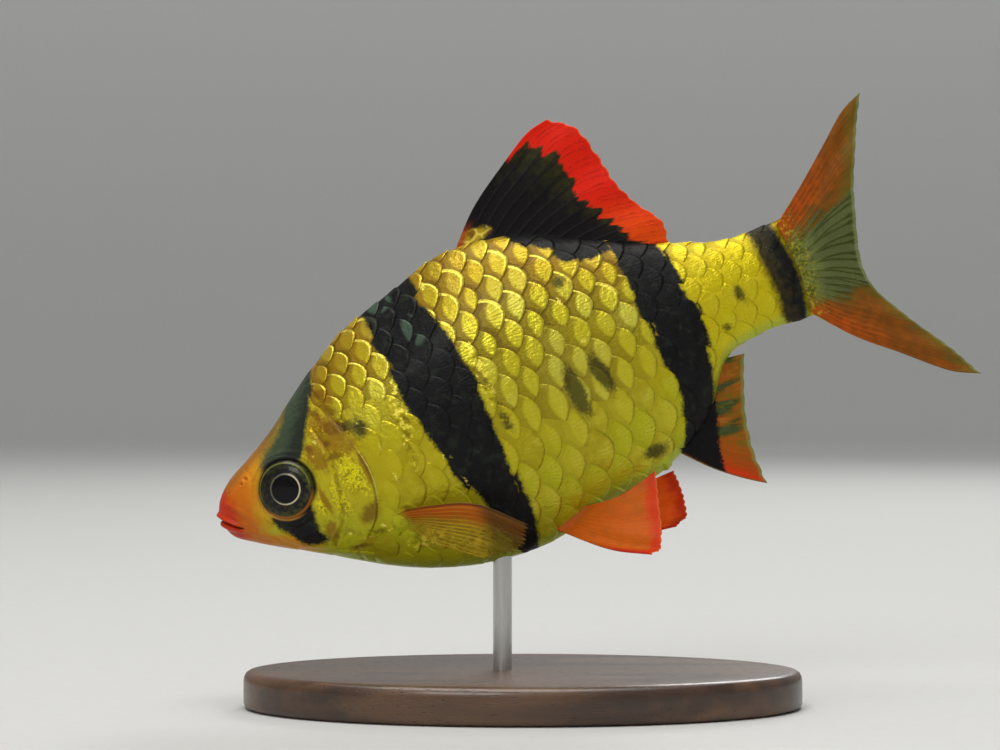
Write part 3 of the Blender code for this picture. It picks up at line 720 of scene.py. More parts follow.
coated = smooth_step(-0.5, 0.5, hide_x - scales_from(hide_z))
sunk = BARE_DEPTH + (COAT_DEPTH - BARE_DEPTH) * coated
skin_points = hide + normals * (skin_relief(hide) - sunk)[:, None]
for hand in (-1, 1):
    centre, eye_along, eye_up, eye_out = eye_axes(hand)
    offset = skin_points - centre
    near = (np.sign(hide[:, 1]) == hand) & (np.linalg.norm(offset, axis=1) < 4.5)
    right, up, level = (offset[near] @ axis for axis in (eye_along, eye_up, eye_out))
    radius = np.hypot(right, up)
    upward = np.sin(np.arctan2(up, right))
    folds = 0.09 * hump(radius - LID[0], LID[1])
    brow = hump(radius - BROW_FOLD[0], BROW_FOLD[1]) - hump(radius - BROW_GROOVE[0], BROW_GROOVE[1])
    folds += (0.02 + 0.05 * smooth_step(0.0, 0.7, upward)) * brow
    socket = SOCKET_DEPTH * (1 - smooth_step(SOCKET_RADIUS, EYE_RADIUS - 0.02, radius))
    wanted = EYE_RIM_LEVEL - socket + folds
    weight = 1 - smooth_step(EYE_RADIUS + 0.02, 3.2, radius)
    moved = level + weight * (wanted - level) + (1 - weight) * folds
    skin_points[near] += (moved - level)[:, None] * eye_out

skin_faces = tube_faces(len(rings_x), SKIN_SEGMENTS)

skin_marks = markings(hide_x, hide_z)
skin_marks["at"] = hide
to_gill = np.abs(hide_x - gill_line(hide_z) + 0.12)
skin_marks["gill_edge"] = to_gill + 0.05 * np.maximum(np.abs(hide_z + 1.8) - 1.6, 0.0)
lines = {"mouth": MOUTH_LINE, "cover_ridge": COVER_RIDGE, "cover_groove": COVER_GROOVE}
for key, line in lines.items():
    skin_marks[key] = line_distance(hide_x, hide_z, line)
centre, eye_along, eye_up, eye_out = eye_axes(-1)
from_eye = np.stack([hide_x, -np.abs(hide[:, 1]), hide_z], axis=1) - centre
skin_marks["eye_distance"] = np.hypot(from_eye @ eye_along, from_eye @ eye_up)

GOLD = (0.52, 0.43, 0.008)
GOLD_BACK = (0.36, 0.17, 0.006)
GOLD_BELLY = (0.44, 0.45, 0.010)
BELLY_RIM = (0.36, 0.46, 0.045)
BLACK = (0.0035, 0.0030, 0.0035)
BLACK_EDGE = (0.060, 0.038, 0.003)
SLATE_GREEN = (0.040, 0.058, 0.030)
SLATE_DARK = (0.008, 0.010, 0.008)
DEEP_BROWN = (0.17, 0.075, 0.003)
OCHRE = (0.27, 0.125, 0.004)
SHEEN_GOLD = (0.72, 0.64, 0.014)
GLINT = (0.92, 0.79, 0.13)
SNOUT_ORANGE = (0.55, 0.135, 0.003)
CHEEK_ORANGE = (0.60, 0.235, 0.006)
LIP_RED = (0.50, 0.030, 0.003)
GREEN_GLINT = (0.050, 0.085, 0.052)
OLIVE_SHADE = (0.080, 0.075, 0.014)
SPOT_SHADE = (0.040, 0.034, 0.004)
GREEN_BLACK = (0.010, 0.014, 0.008)
BROWN_BLACK = (0.036, 0.026, 0.004)
STALK_GOLD = (0.66, 0.53, 0.004)
PALE_CLOUD, DEEP_CLOUD = (0.52, 0.44, 0.02), (0.27, 0.19, 0.006)
FOIL_PAINTED_SHADE, FOIL_PAINTED_GLINT = (0.20, 0.16, 0.002), (0.84, 0.74, 0.010)
COVER_PAINTED_SHADE, COVER_PAINTED_HIGHLIGHT = (0.19, 0.105, 0.003), (0.64, 0.52, 0.03)
NOSE_BROWN = (0.24, 0.095, 0.008)
BROW_FRONT, BROW_REAR = (0.30, 0.115, 0.009), (0.17, 0.095, 0.014)
LID_BLACK, LID_ORANGE = (0.006, 0.005, 0.005), (0.42, 0.20, 0.03)
GILL_PAINTED_SHADOW, GILL_RIM = (0.10, 0.055, 0.004), (0.70, 0.64, 0.17)
MOUTH_PAINTED_SHADE = (0.10, 0.006, 0.002)
TAIL_ROOT_GREEN, TAIL_ROOT_ORANGE = (0.13, 0.155, 0.030), (0.30, 0.085, 0.004)
TAIL_ROOT_GOLD = (0.44, 0.34, 0.02)


def banded(start, gold, ragged):
    """Lays the bars, spots and brow over a golden colour, with their edges made ragged.

    The skin and the scales both use it, so that their markings agree. It returns the colour
    and how dark each place is.
    """
    place = start.fish_place()
    fine, broad = place.noise(5.0, 3.0) - 0.5, place.noise(1.6, 2.0) - 0.5
    u, v = place.axis(0), place.axis(2)
    stalk_bar = u.step(45.4, 46.2)
    bar = start.attribute("bar") + fine * 0.4 + broad * 0.45 + ragged * (1 - stalk_bar * 0.6)
    bar = bar * (1 - stalk_bar * 0.55)
    slate = start.attribute("slate") + fine * 0.35 + ragged * 0.5
    spot = start.attribute("spot") + fine * 0.5 + broad * 0.4 + ragged * 0.4
    orange = start.attribute("orange") + broad * 0.8 + fine * 0.6
    brown = start.attribute("brown") + fine * 0.5 + broad * 0.5
    olive = start.attribute("olive") + fine * 0.5 + broad * 0.7
    gold = gold.painted(STALK_GOLD, u.step(38.5, 41.5) * 0.6)
    shade = gold.painted(OCHRE, orange.step(0.15, 0.75) * 0.8)
    shade = shade.painted(DEEP_BROWN, brown.step(0.20, 0.85) * 0.8)
    shade = shade.painted(OLIVE_SHADE, olive.step(0.20, 0.85) * 0.8)
    shade = shade.painted(BLACK_EDGE, bar.step(-0.28, 0.05) * 0.6)
    shade = shade.painted(SPOT_SHADE, spot.step(-0.25, 0.2) * 0.88)
    slate_ink = slate.step(-0.22, 0.22)
    rear_half = (u * 0.81 - v * 0.58 + broad * 1.2).step(3.7, 4.9)
    shade = shade.painted(start.mix(SLATE_GREEN, SLATE_DARK, rear_half * 0.8), slate_ink)
    black = bar.step(-0.10, 0.14)
    night = start.mix(BLACK, GREEN_BLACK, place.noise(1.4, 3.0).step(0.5, 0.7))
    rear_of_bar = (broad * 2.0 - u * 0.5).step(-24.4, -23.6)
    night = night.painted(BROWN_BLACK, stalk_bar * rear_of_bar * 0.8)
    shade = shade.painted(night, black)
    dark = black.most(slate_ink).most(spot.step(-0.25, 0.2) * 0.8)
    return shade, dark


skin_finish, start = start_material(
    "skin",
    coat_weight=0.10,
    coat_roughness=0.12,
    subsurface_weight=0.08,
    subsurface_scale=0.0007,
    specular_ior_level=0.16,
)
place = start.fish_place()
u, v = place.axis(0), place.axis(2)
mottle, speckle, foil = place.noise(1.1, 4.0), place.noise(9.0, 2.0), place.noise(4.6, 3.0)
height, bright = start.attribute("height"), start.attribute("bright")
gold = start.mix(GOLD, GOLD_BELLY, height.step(0.42, 0.16) * 0.9)
gold = gold.painted(GOLD_BACK, height.step(0.80, 1.0) * 0.85)
clouds = mottle + (speckle - 0.5) * 0.5
gold = gold.painted(PALE_CLOUD, clouds.step(0.52, 0.72) * 0.6)
gold = gold.painted(DEEP_CLOUD, clouds.step(0.46, 0.30) * 0.6)
# In the sparkle patches the gold is painted lighter as a sheen, with painted shade in dark crumples
# and painted glints on the flecks.
gold = gold.painted(SHEEN_GOLD, bright.step(0.3, 0.9) * 0.4)
gold = gold.painted(FOIL_PAINTED_SHADE, bright.step(0.15, 0.7) * foil.step(0.48, 0.38) * 0.65)
glint_flecks = (foil + bright * 0.16).step(0.60, 0.68) * bright.step(0.10, 0.4)
gold = gold.painted(FOIL_PAINTED_GLINT, glint_flecks * 0.9)
# Painted shade in the gill cover's groove and a painted highlight along its ridge.
cover_groove = start.attribute("cover_groove").step(0.24, 0.04) * mottle.step(0.38, 0.6)
gold = gold.painted(COVER_PAINTED_SHADE, cover_groove * 0.7)
cover_ridge = start.attribute("cover_ridge").step(0.18, 0.03) * mottle.step(0.35, 0.6)
gold = gold.painted(COVER_PAINTED_HIGHLIGHT, cover_ridge * 0.5)
snout = (u + (mottle - 0.5) * 1.6 - v * 0.35).step(5.6, 2.6)
jaw = (u * 0.55 + v + (mottle - 0.5) * 0.9).step(-0.5, -1.6) * u.step(7.6, 5.0)
orange = start.mix(SNOUT_ORANGE, CHEEK_ORANGE, (u + speckle).step(2.6, 4.8))
orange = orange.painted(LIP_RED, (u + (mottle - 0.5) * 1.3).step(2.1, 0.9))
gold = gold.painted(orange, snout.most(jaw * 0.95))
nose = start.attribute("from_back").step(1.1, 0.3) * u.step(7.6, 5.0)
gold = gold.painted(NOSE_BROWN, nose * u.step(0.6, 2.0) * 0.75)
shade, dark = banded(start, gold, 0.0)
brow = start.attribute("from_back").step(0.55, 0.30) * u.step(8.4, 6.4) * u.step(2.0, 3.4)
shade = shade.painted(start.mix(BROW_FRONT, BROW_REAR, u.step(4.0, 6.4)), brow * 0.85)
from_eye, slope = start.attribute("eye_distance"), u * 0.6 + v * 0.5
shade = shade.painted(LID_BLACK, from_eye.step(2.72, 2.42) * slope.step(3.2, 4.4) * 0.92)
shade = shade.painted(LID_ORANGE, from_eye.step(2.56, 2.40) * slope.step(3.0, 2.0) * 0.9)
# A painted green sheen on scales in the dark marks.
shade = shade.painted(GREEN_GLINT, start.attribute("green").step(0.3, 0.8) * dark * 0.8)
glint = start.attribute("glint") + (speckle - 0.5) * 1.3
shade = shade.painted(GLINT, glint.step(0.35, 0.85) * 0.85)
gill_edge = start.attribute("gill_edge")
# Painted shadow beside the gill cover's pale rear edge.
shade = shade.painted(GILL_PAINTED_SHADOW, (gill_edge - 0.22).size().step(0.14, 0.05) * 0.5)
shade = shade.painted(GILL_RIM, (gill_edge + (speckle - 0.5) * 0.08).step(0.13, 0.04) * 0.8)
belly_rim = (start.attribute("from_belly") + (mottle - 0.5) * 0.5).step(1.1, 0.25)
belly_rim = belly_rim * (1 - dark) * u.step(5.0, 9.0) * u.step(35.6, 34.6)
shade = shade.painted(BELLY_RIM, belly_rim * 0.75)
# Painted shade in the mouth's cleft between the lips.
cleft_shade = start.attribute("mouth").step(0.12, 0.03) * u.step(1.7, 1.2)
shade = shade.painted(MOUTH_PAINTED_SHADE, cleft_shade * 0.9)
tail_root = start.mix(TAIL_ROOT_GREEN, TAIL_ROOT_ORANGE, (v - 0.85).size().step(1.5, 2.9))
tail_root = tail_root.painted(TAIL_ROOT_GOLD, foil.step(0.50, 0.62) * 0.7)
shade = shade.painted(tail_root, (u + (speckle - 0.5) * 0.5).step(49.5, 49.9))
fringe = place.stretched((0.3, 1.0, 2.5)).noise(2.0) - 0.5
feed(
    skin_finish,
    base_color=shade,
    alpha=(u + fringe * 1.6).step(50.9, 50.2),
    metallic=(1 - dark) * (1 - snout.most(jaw)) * (0.25 + glint_flecks * 0.4),
    roughness=0.40 + (speckle - 0.5) * 0.2 + dark * 0.05 - glint_flecks * 0.12,
    normal=start.bump(speckle * 0.35 + place.noise(3.0, 3.0) + foil * bright * 1.2, 0.07),
)
skin = add_piece("skin", swimming(skin_points), skin_faces, skin_finish, skin_marks)
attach(skin, "root")
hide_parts("head", "torso", "tail_stalk", "gill_cover_left", "gill_cover_right")


# The scales
# Thin rounded plates of bone in rows that overlap like roof tiles, each free at its rear
# edge, with fine ribs fanning to the edge and skin over its root. A highlight is painted on
# each rim's upper rear, and shade is painted at the plates' edges, in the gaps, and with a
# darker tint of their own in the hollows between them.

ROW_REFERENCE = (  # the middle row: distance from the snout, and height
    (10.0, 1.0), (12.0, 0.8), (20.0, 0.3), (28.0, 0.5), (36.0, 0.6), (45.0, 1.0), (52.0, 0.95),
)
PITCH_ALONG = (  # distance from the snout, and the spacing of scales there
    (8.0, 1.7), (14.0, 1.8), (20.0, 1.92), (34.0, 2.0), (42.0, 1.72), (52.0, 1.5),
)
PITCH_UP = (
    (8.0, 1.7), (14.0, 1.8), (20.0, 1.95), (30.0, 2.0), (38.0, 1.78), (43.0, 1.5), (52.0, 1.4),
)
LOWER_ROWS = 1.2  # the rows below the middle are this much taller
ROWS, COLUMNS = range(-8, 9), range(-12, 18)
PHASE_AT, LAST_SCALE_AT = 24.7, 49.3  # a scale of the middle row is centred at the first
EDGE_MARGIN = 0.35  # how far from the back and the keel the sides' scales stop
PLATE_LENGTH, PLATE_CURVE, PLATE_HALF = 1.8, 0.8, 0.8  # as shares of the spacings
PLATE_POWER = 1.62  # an outline a little more pointed than a circle's 2
PLATE_TIP, PLATE_THICK = 0.02, 0.05
PLATE_ROWS, PLATE_COLUMNS = 12, 13
BOLD_ABOVE = (  # the scales are bold above this line, and soft above the next
    (12.0, 4.0), (18.0, 4.4), (22.5, 3.9), (28.0, 3.0), (34.0, 3.6), (41.0, 4.6), (48.0, 4.8),
)
SOFT_ABOVE = (
    (12.0, 3.2), (18.0, 2.8), (22.5, -1.8), (28.0, -3.2), (34.0, -3.2), (38.0, 0.0), (41.5, 3.4),
    (48.0, 4.4),
)
SLEEK_BEFORE = (15.5, 19.5)  # low scales are nearly smooth before the first, and not past the last
PATCH, UNDER_PATCH = 0.024, 0.003  # the places of a scale's two faces on the baked map
PLATE_PALE, PLATE_DEEP = (0.54, 0.47, 0.022), (0.35, 0.26, 0.008)
FACE_YELLOW, FACE_PALE = (0.58, 0.51, 0.025), (0.62, 0.59, 0.075)
FACE_PAINTED_SHADE, FACE_PAINTED_GLINT = (0.15, 0.11, 0.003), (0.90, 0.76, 0.08)
RIB_PALE = (0.62, 0.58, 0.12)
POCKET_FLANK, POCKET_BACK = (0.21, 0.150, 0.003), (0.24, 0.135, 0.003)
GAP_PAINTED_SHADOW = (0.12, 0.065, 0.003)
RIM_PAINTED_HIGHLIGHT, RIM_EDGE_PAINTED_SHADE = (0.90, 0.78, 0.10), (0.30, 0.17, 0.008)
BLACK_RIM = (0.030, 0.034, 0.020)

sample_x = np.linspace(8.0, 52.0, 221)
sample_angle = np.linspace(-0.7, math.pi + 0.7, 801)
section = body_points(sample_x[:, None], sample_angle[None, :])
steps = np.linalg.norm(np.diff(section, axis=1), axis=2)
arc = np.concatenate([np.zeros((len(sample_x), 1)), np.cumsum(steps, axis=1)], axis=1)
reference_z = np.interp(sample_x, *zip(*ROW_REFERENCE))
top, bottom = back(sample_x), belly(sample_x)
middle = bottom + WIDEST_AT * (top - bottom)
reach = np.where(reference_z > middle, top - middle, middle - bottom)
reference_angle = np.arccos(np.clip((reference_z - middle) / reach, -1, 1))
climb = np.linspace(-19.0, 19.0, 381)
angle_table = np.empty((len(sample_x), len(climb)))
ridge_climb, keel_climb = np.empty(len(sample_x)), np.empty(len(sample_x))
for k in range(len(sample_x)):
    up = np.interp(reference_angle[k], sample_angle, arc[k]) - arc[k]
    angle_table[k] = np.interp(climb, up[::-1], sample_angle[::-1])
    ridge_climb[k], keel_climb[k] = np.interp((0.0, math.pi), sample_angle, up)


def on_body(x, up):
    """Points, outward normals and angles of the left side, at a distance from the snout and a
    climb along the skin from the middle row."""
    i = np.clip((x - sample_x[0]) / (sample_x[1] - sample_x[0]), 0, len(sample_x) - 1.001)
    j = np.clip((up - climb[0]) / (climb[1] - climb[0]), 0, len(climb) - 1.001)
    i0, j0 = i.astype(int), j.astype(int)
    fi, fj = i - i0, j - j0
    angle = (
        angle_table[i0, j0] * (1 - fi) * (1 - fj)
        + angle_table[i0 + 1, j0] * fi * (1 - fj)
        + angle_table[i0, j0 + 1] * (1 - fi) * fj
        + angle_table[i0 + 1, j0 + 1] * fi * fj
    )
    points = body_points(x, angle)
    ahead = body_points(x + 0.05, angle) - body_points(x - 0.05, angle)
    down = body_points(x, angle + 0.04) - body_points(x, angle - 0.04)
    out = np.cross(ahead, down)
    out /= np.maximum(np.linalg.norm(out, axis=-1, keepdims=True), 1e-9)
    return points, out * np.sign(out[..., 1:2] * points[..., 1:2] + 1e-12), angle


fine_x = np.linspace(0.0, 60.0, 6001)
column_at = np.cumsum(fine_x[1] / np.interp(fine_x, *zip(*PITCH_ALONG)))
column_at -= np.interp(PHASE_AT, fine_x, column_at)


def row_climb(x, row):
    """The climb of a row of scales from the middle row, at a distance from the snout."""
    return np.interp(x, *zip(*PITCH_UP)) * np.where(row > 0, row, LOWER_ROWS * row)


def kept_on_side(x, up):
    """A climb that would pass the back or the keel is squeezed in just before it."""
    over = np.maximum(up - np.interp(x, sample_x, ridge_climb) + EDGE_MARGIN, 0.0)
    under = np.maximum(np.interp(x, sample_x, keel_climb) + EDGE_MARGIN - up, 0.0)
    return up - over + over / (1 + over / EDGE_MARGIN) + under - under / (1 + under / EDGE_MARGIN)


rng = np.random.default_rng(7)
plates = []
for row in ROWS:
    for column in COLUMNS:
        place = column + 0.5 * (row % 2)
        x = float(np.interp(place, column_at, fine_x))
        up = float(row_climb(x, row))
        most, least = np.interp(x, sample_x, ridge_climb), np.interp(x, sample_x, keel_climb)
        if not least - 0.9 < up < most + 0.9:
            continue
        z = on_body(np.array(x), np.array(up))[0][2]
        if scales_from(z) + 0.15 <= x <= LAST_SCALE_AT:
            plates.append((place, row, x, z))


def per_plate(values):
    """One value for each plate, as a grid that spreads over the plate's points."""
    return values[:, None, None]


plates = np.array(plates)
plate_count = len(plates)
row, plate_u, plate_v = per_plate(plates[:, 1]), plates[:, 2], plates[:, 3]
along_share = np.linspace(0.0, 1.0, PLATE_ROWS) ** 0.8
across_share = np.sin(np.linspace(-0.5 * math.pi, 0.5 * math.pi, PLATE_COLUMNS))
to_tip, to_side = np.meshgrid(along_share, across_share, indexing="ij")
shift = rng.normal(0.0, 0.035, (plate_count, 2))
size = 1 + per_plate(rng.normal(0.0, 0.035, plate_count))
column, shifted_row = per_plate(plates[:, 0] + shift[:, 0]), row + per_plate(shift[:, 1])
rounding = np.maximum(1 - np.abs(to_side) ** PLATE_POWER, 0.0) ** (1 / PLATE_POWER)
rear = 0.5 - PLATE_CURVE * (1 - rounding)
lattice_x = column + (0.5 - PLATE_LENGTH) + to_tip * (rear - 0.5 + PLATE_LENGTH) * size
lattice_row = shifted_row + PLATE_HALF * to_side * size
plate_x = np.interp(lattice_x, column_at, fine_x)
plate_up = kept_on_side(plate_x, row_climb(plate_x, lattice_row))
skin_place, outward, plate_angle = on_body(plate_x, plate_up)


def past_edge(column, row):
    """How far the plates' points lie outside the outline of another scale, in millimetres."""
    ahead = np.maximum(lattice_x - (column + 0.5 - PLATE_CURVE), 0.0) / PLATE_CURVE
    aside = np.abs(lattice_row - row) / PLATE_HALF
    return 1.6 * ((ahead**PLATE_POWER + aside**PLATE_POWER) ** (1 / PLATE_POWER) - 1)


own_edge = -past_edge(column, shifted_row) / size
in_front = ((column - 1.0, row), (column - 0.5, row + 1), (column - 0.5, row - 1))
gap = np.min([past_edge(*scale) for scale in in_front], axis=0)
lens = 1 - np.abs(lattice_x - column - 0.15) / 0.36 - ((lattice_row - row) / 0.68) ** 2
length_share = (lattice_x - (column + 0.5 - PLATE_LENGTH)) / PLATE_LENGTH
bold = per_plate(smooth_step(-1.5, 1.3, plate_v - np.interp(plate_u, *zip(*BOLD_ABOVE))))
soft = smooth_step(-2.2, 2.0, plate_v - np.interp(plate_u, *zip(*SOFT_ABOVE)))
soft = per_plate(soft * smooth_step(0.5, 2.5, plate_v - belly(plate_u)))
sleek = per_plate(smooth_step(*SLEEK_BEFORE[::-1], plate_u)) * (1 - bold)
rise = 0.06 + 0.13 * np.maximum(bold, 0.55 * soft) - 0.035 * sleek
tall = PLATE_TIP + 0.01 * (1 - bold) - rise * (1 - length_share)
tall = tall + 0.03 * smooth_step(0.75, 1.0, length_share) * bold - 0.025 * to_side * to_side
tall = tall + per_plate(rng.normal(0.0, 0.006, plate_count)) * (0.3 + 0.7 * bold)
thick = PLATE_THICK * (1 - 0.45 * to_tip)
upper = skin_place + outward * tall[..., None]
under = skin_place + outward * (tall - thick)[..., None]


def sheet_faces(rows, columns):
    """The faces of a closed thin sheet: the points of one face, then those of the other."""
    whole = rows * columns
    face = grid_faces(rows, columns)
    ring = np.concatenate([
        np.arange(columns),
        np.arange(1, rows) * columns + columns - 1,
        (rows - 1) * columns + np.arange(columns - 2, -1, -1),
        np.arange(rows - 2, 0, -1) * columns,
    ])
    after = np.roll(ring, -1)
    wall = np.stack([ring, after, after + whole, ring + whole], axis=1)
    return np.vstack([face[:, ::-1], face + whole, wall])


face_size = PLATE_ROWS * PLATE_COLUMNS
one_plate = sheet_faces(PLATE_ROWS, PLATE_COLUMNS)
first_points = per_plate(np.arange(plate_count) * 2 * face_size)
plate_faces = (one_plate[None] + first_points).reshape(-1, 4)


def stacked(upper, under):
    """The values of each plate's upper face, then those of its underside, plate by plate."""
    faces = [values.reshape(plate_count, face_size, -1) for values in (upper, under)]
    joined = np.concatenate(faces, axis=1)
    return joined.reshape(plate_count * 2 * face_size, -1)


def both_faces(values):
    """A value on each point of each plate, the same for its upper face and its underside."""
    spread = np.broadcast_to(values, lattice_x.shape)
    return stacked(spread, spread).ravel()


scale_marks = markings(both_faces(skin_place[..., 0]), both_faces(skin_place[..., 2]))
scale_marks["at"] = stacked(skin_place, skin_place)
plate_marks = {
    "rim": own_edge,
    "gap": gap,
    "lens": 0.63 * lens,
    "across": to_side,
    "fan": np.arctan2(lattice_row - row, lattice_x - column + 0.9),
    "bold": bold,
    "soft": soft,
    "sleek": sleek,
    "chance": per_plate(rng.random(plate_count)),
    "luck": per_plate(rng.random(plate_count)),
}
for key, values in plate_marks.items():
    scale_marks[key] = both_faces(values)

scale_finish, start = start_material(
    "scales", coat_weight=0.05, coat_roughness=0.15, specular_ior_level=0.14
)
place = start.fish_place()
chance, luck, rim, gap_here, across, bold_here, soft_here, sleek_here, height, bright = (
    start.attribute(name)
    for name in (
        "chance", "luck", "rim", "gap", "across", "bold", "soft", "sleek", "height", "bright",
    )
)
mottle, speckle, foil = place.noise(1.1, 4.0), place.noise(8.0, 2.0), place.noise(1.7, 4.0)
gold = start.mix(GOLD, GOLD_BELLY, height.step(0.42, 0.16) * 0.8)
gold = gold.painted(PLATE_PALE, (chance * 0.6 + mottle * 0.6).step(0.5, 0.9) * 0.7)
gold = gold.painted(PLATE_DEEP, (luck * 0.5 + (1 - mottle) * 0.7).step(0.62, 0.95) * 0.6)
ribs = (start.attribute("fan") * 46.0 + speckle * 5.0).sine() * 0.5 + 0.5
fine_ribs = ribs.step(0.6, 1.0) * gap_here.step(0.2, 1.2) * mottle.step(0.40, 0.62)
gold = gold.painted(RIB_PALE, fine_ribs * (0.40 - bold_here * 0.25) * (1 - sleek_here * 0.75))
pale = start.mix(FACE_YELLOW, FACE_PALE, (luck * 0.7 + mottle * 0.5).step(0.6, 1.0))
gold = gold.painted(pale, (0.40 + chance * 0.5) * soft_here.most(bold_here))
gold = gold.painted(GOLD_BACK, height.step(0.66, 1.0) * (0.45 + chance * 0.35))
lens = start.attribute("lens") + (speckle - 0.5) * 0.12 + (mottle - 0.5) * 0.3
# The covered front and sides of each plate are painted darker: partly the scale's own darker pigment,
# partly painted shade in the hollow under its neighbours.
pocket_tint_and_shade = lens.step(0.18, -0.12) * (0.12 + soft_here * 0.60 + bold_here * 0.16)
gold = gold.painted(start.mix(POCKET_FLANK, POCKET_BACK, height.step(0.66, 0.9)), pocket_tint_and_shade)
# Painted shadow in the thin gap just behind the edge of the scale in front.
gap_shadow = (gap_here + (speckle - 0.5) * 0.16).step(0.22, 0.05)
gold = gold.painted(GAP_PAINTED_SHADOW, gap_shadow * (0.12 - sleek_here * 0.08 + bold_here * 0.5))
# In the sparkle patches: painted shade in dark crumples and painted glints on the flecks.
gold = gold.painted(FACE_PAINTED_SHADE, bright.step(0.15, 0.7) * foil.step(0.48, 0.38) * 0.7)
glint_flecks = (foil + bright * 0.14).step(0.61, 0.68) * bright.step(0.10, 0.5)
gold = gold.painted(FACE_PAINTED_GLINT, glint_flecks * 0.85)
# A painted highlight along the upper rear of each plate's rim, broken in places.
broken = (place.noise(1.5, 2.0) + (luck - 0.5) * 0.3).step(0.36, 0.58)
rim_line = (rim + (speckle - 0.5) * 0.09).step(0.22, 0.09)
rim_share = bold_here * (0.25 + broken * 0.75) + soft_here * broken * 0.2
rim_lit = rim_line * rim_share * (across + speckle * 0.4).step(-0.65, 0.35)
gold = gold.painted(RIM_PAINTED_HIGHLIGHT, rim_lit)
# Painted shade along the very edge of each bold plate.
rim_edge_shade = (rim + (speckle - 0.5) * 0.06).step(0.07, 0.02)
gold = gold.painted(RIM_EDGE_PAINTED_SHADE, rim_edge_shade * bold_here * 0.5)
shade, dark = banded(start, gold, (chance - 0.5) * 0.6)
belly_rim = (start.attribute("from_belly") + (mottle - 0.5) * 0.6).step(1.1, 0.2)
shade = shade.painted(BELLY_RIM, belly_rim * (1 - dark) * height.step(0.3, 0.1) * 0.7)
# A painted green sheen on scales in the dark marks.
green = start.attribute("green").step(0.35, 0.6) * dark * lens.step(-0.05, 0.1)
shade = shade.painted(GREEN_GLINT, green * 0.85)
glint = start.attribute("glint") + (speckle - 0.5) * 1.3
shade = shade.painted(GLINT, glint.step(0.35, 0.85) * 0.85)
shade = shade.painted(BLACK_RIM, dark * rim_line * bold_here * luck.step(0.6, 1.0) * 0.5)
crinkle = place.noise(2.3, 2.0) - place.noise(4.2, 1.0).size() * 0.4
relief = ribs * (0.16 - sleek_here * 0.12) + speckle * 0.35 + mottle * 0.5 + crinkle * 1.5
feed(
    scale_finish,
    base_color=shade,
    metallic=(1 - dark) * (0.36 + rim_line * 0.2 + chance * 0.12 - pocket_tint_and_shade * 0.25),
    roughness=0.29 + (speckle - 0.5) * 0.16 + dark * 0.14 + luck * 0.08 + pocket_tint_and_shade * 0.12,
    normal=start.bump(relief, 0.045),
)

root_u = 0.02 + 0.94 * (plate_x - 8.0) / 46.0
root_v = 0.10 + 0.80 * plate_angle / math.pi
root_u, root_v = (per_plate(root[:, 0, PLATE_COLUMNS // 2]) for root in (root_u, root_v))
patch_u, patch_v = root_u + PATCH * (to_tip - 0.5), root_v + PATCH * 0.5 * to_side
under_u = root_u + UNDER_PATCH * to_tip - 0.0155
under_v = root_v + 0.5 * UNDER_PATCH * to_side
patches = stacked(np.stack([patch_u, patch_v], axis=-1), np.stack([under_u, under_v], axis=-1))

for name, hand in (("scales_left", -1), ("scales_right", 1)):
    flip = np.array([1.0, -hand, 1.0])
    points = stacked(upper, under) * flip
    marks = {**scale_marks, "at": scale_marks["at"] * flip}
    coat = add_piece(name, swimming(points), plate_faces, scale_finish, marks)
    corner = np.empty(len(coat.data.loops), np.int32)
    coat.data.loops.foreach_get("vertex_index", corner)
    bake_map = coat.data.uv_layers.new(name="OFBake")
    bake_map.data.foreach_set("uv", patches[corner].astype(np.float32).ravel())
    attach(coat, "root")


# The eyes
# Round glassy balls that fill their sockets: a clear cornea over a dark iris, with a thin
# pale ring round the pupil and an olive one at the edge.

EYE_RISE, EYE_EDGE, EYE_BEHIND = 0.35, -0.45, 0.6
PUPIL_AT, PUPIL_RADIUS = (0.14, -0.03), 1.12
CORNEA_RADIUS, CORNEA_RISE = 1.3, 0.05
EYE_RINGS, EYE_SEGMENTS = 120, 128
IRIS_DARK, IRIS_WISP = (0.009, 0.008, 0.009), (0.026, 0.027, 0.008)
IRIS_OLIVE, IRIS_EDGE = (0.060, 0.066, 0.012), (0.17, 0.18, 0.035)
IRIS_BELOW = (0.40, 0.15, 0.03)
PUPIL_RING, PUPIL_BLACK = (0.60, 0.53, 0.36), (0.003, 0.002, 0.003)

sweep = np.linspace(0.0, math.pi, EYE_RINGS)[:, None]
eye_turn = np.linspace(0.0, 2 * math.pi, EYE_SEGMENTS, endpoint=False)
eye_radius = np.maximum(EYE_RADIUS * np.sin(sweep), 0.01)
eye_u, eye_v = eye_radius * np.cos(eye_turn), eye_radius * np.sin(eye_turn)
from_pupil = np.hypot(eye_u - PUPIL_AT[0], eye_v - PUPIL_AT[1])
round_off = np.maximum(1 - (eye_radius / EYE_RADIUS) ** 3.0, 0.0) ** 0.5
cornea = EYE_EDGE + (EYE_RISE - EYE_EDGE) * round_off
cornea = cornea + CORNEA_RISE * np.maximum(1 - (from_pupil / CORNEA_RADIUS) ** 2, 0.0) ** 0.5
eye_level = np.where(sweep < 0.5 * math.pi, cornea, EYE_EDGE - EYE_BEHIND * round_off)
eye_faces = tube_faces(EYE_RINGS, EYE_SEGMENTS)

eye_finish, start = start_material(
    "eye", coat_weight=0.22, coat_roughness=0.03, roughness=0.3, specular_ior_level=0.08
)
place, radius, ring = start.fish_place(), start.attribute("radius"), start.attribute("ring")
upward, painted_lit_side = start.attribute("upward"), start.attribute("painted_lit_side")
wisps, grain = place.noise(3.0, 4.0), place.noise(7.0, 2.0)
iris = start.mix(IRIS_DARK, IRIS_WISP, wisps.step(0.42, 0.66))
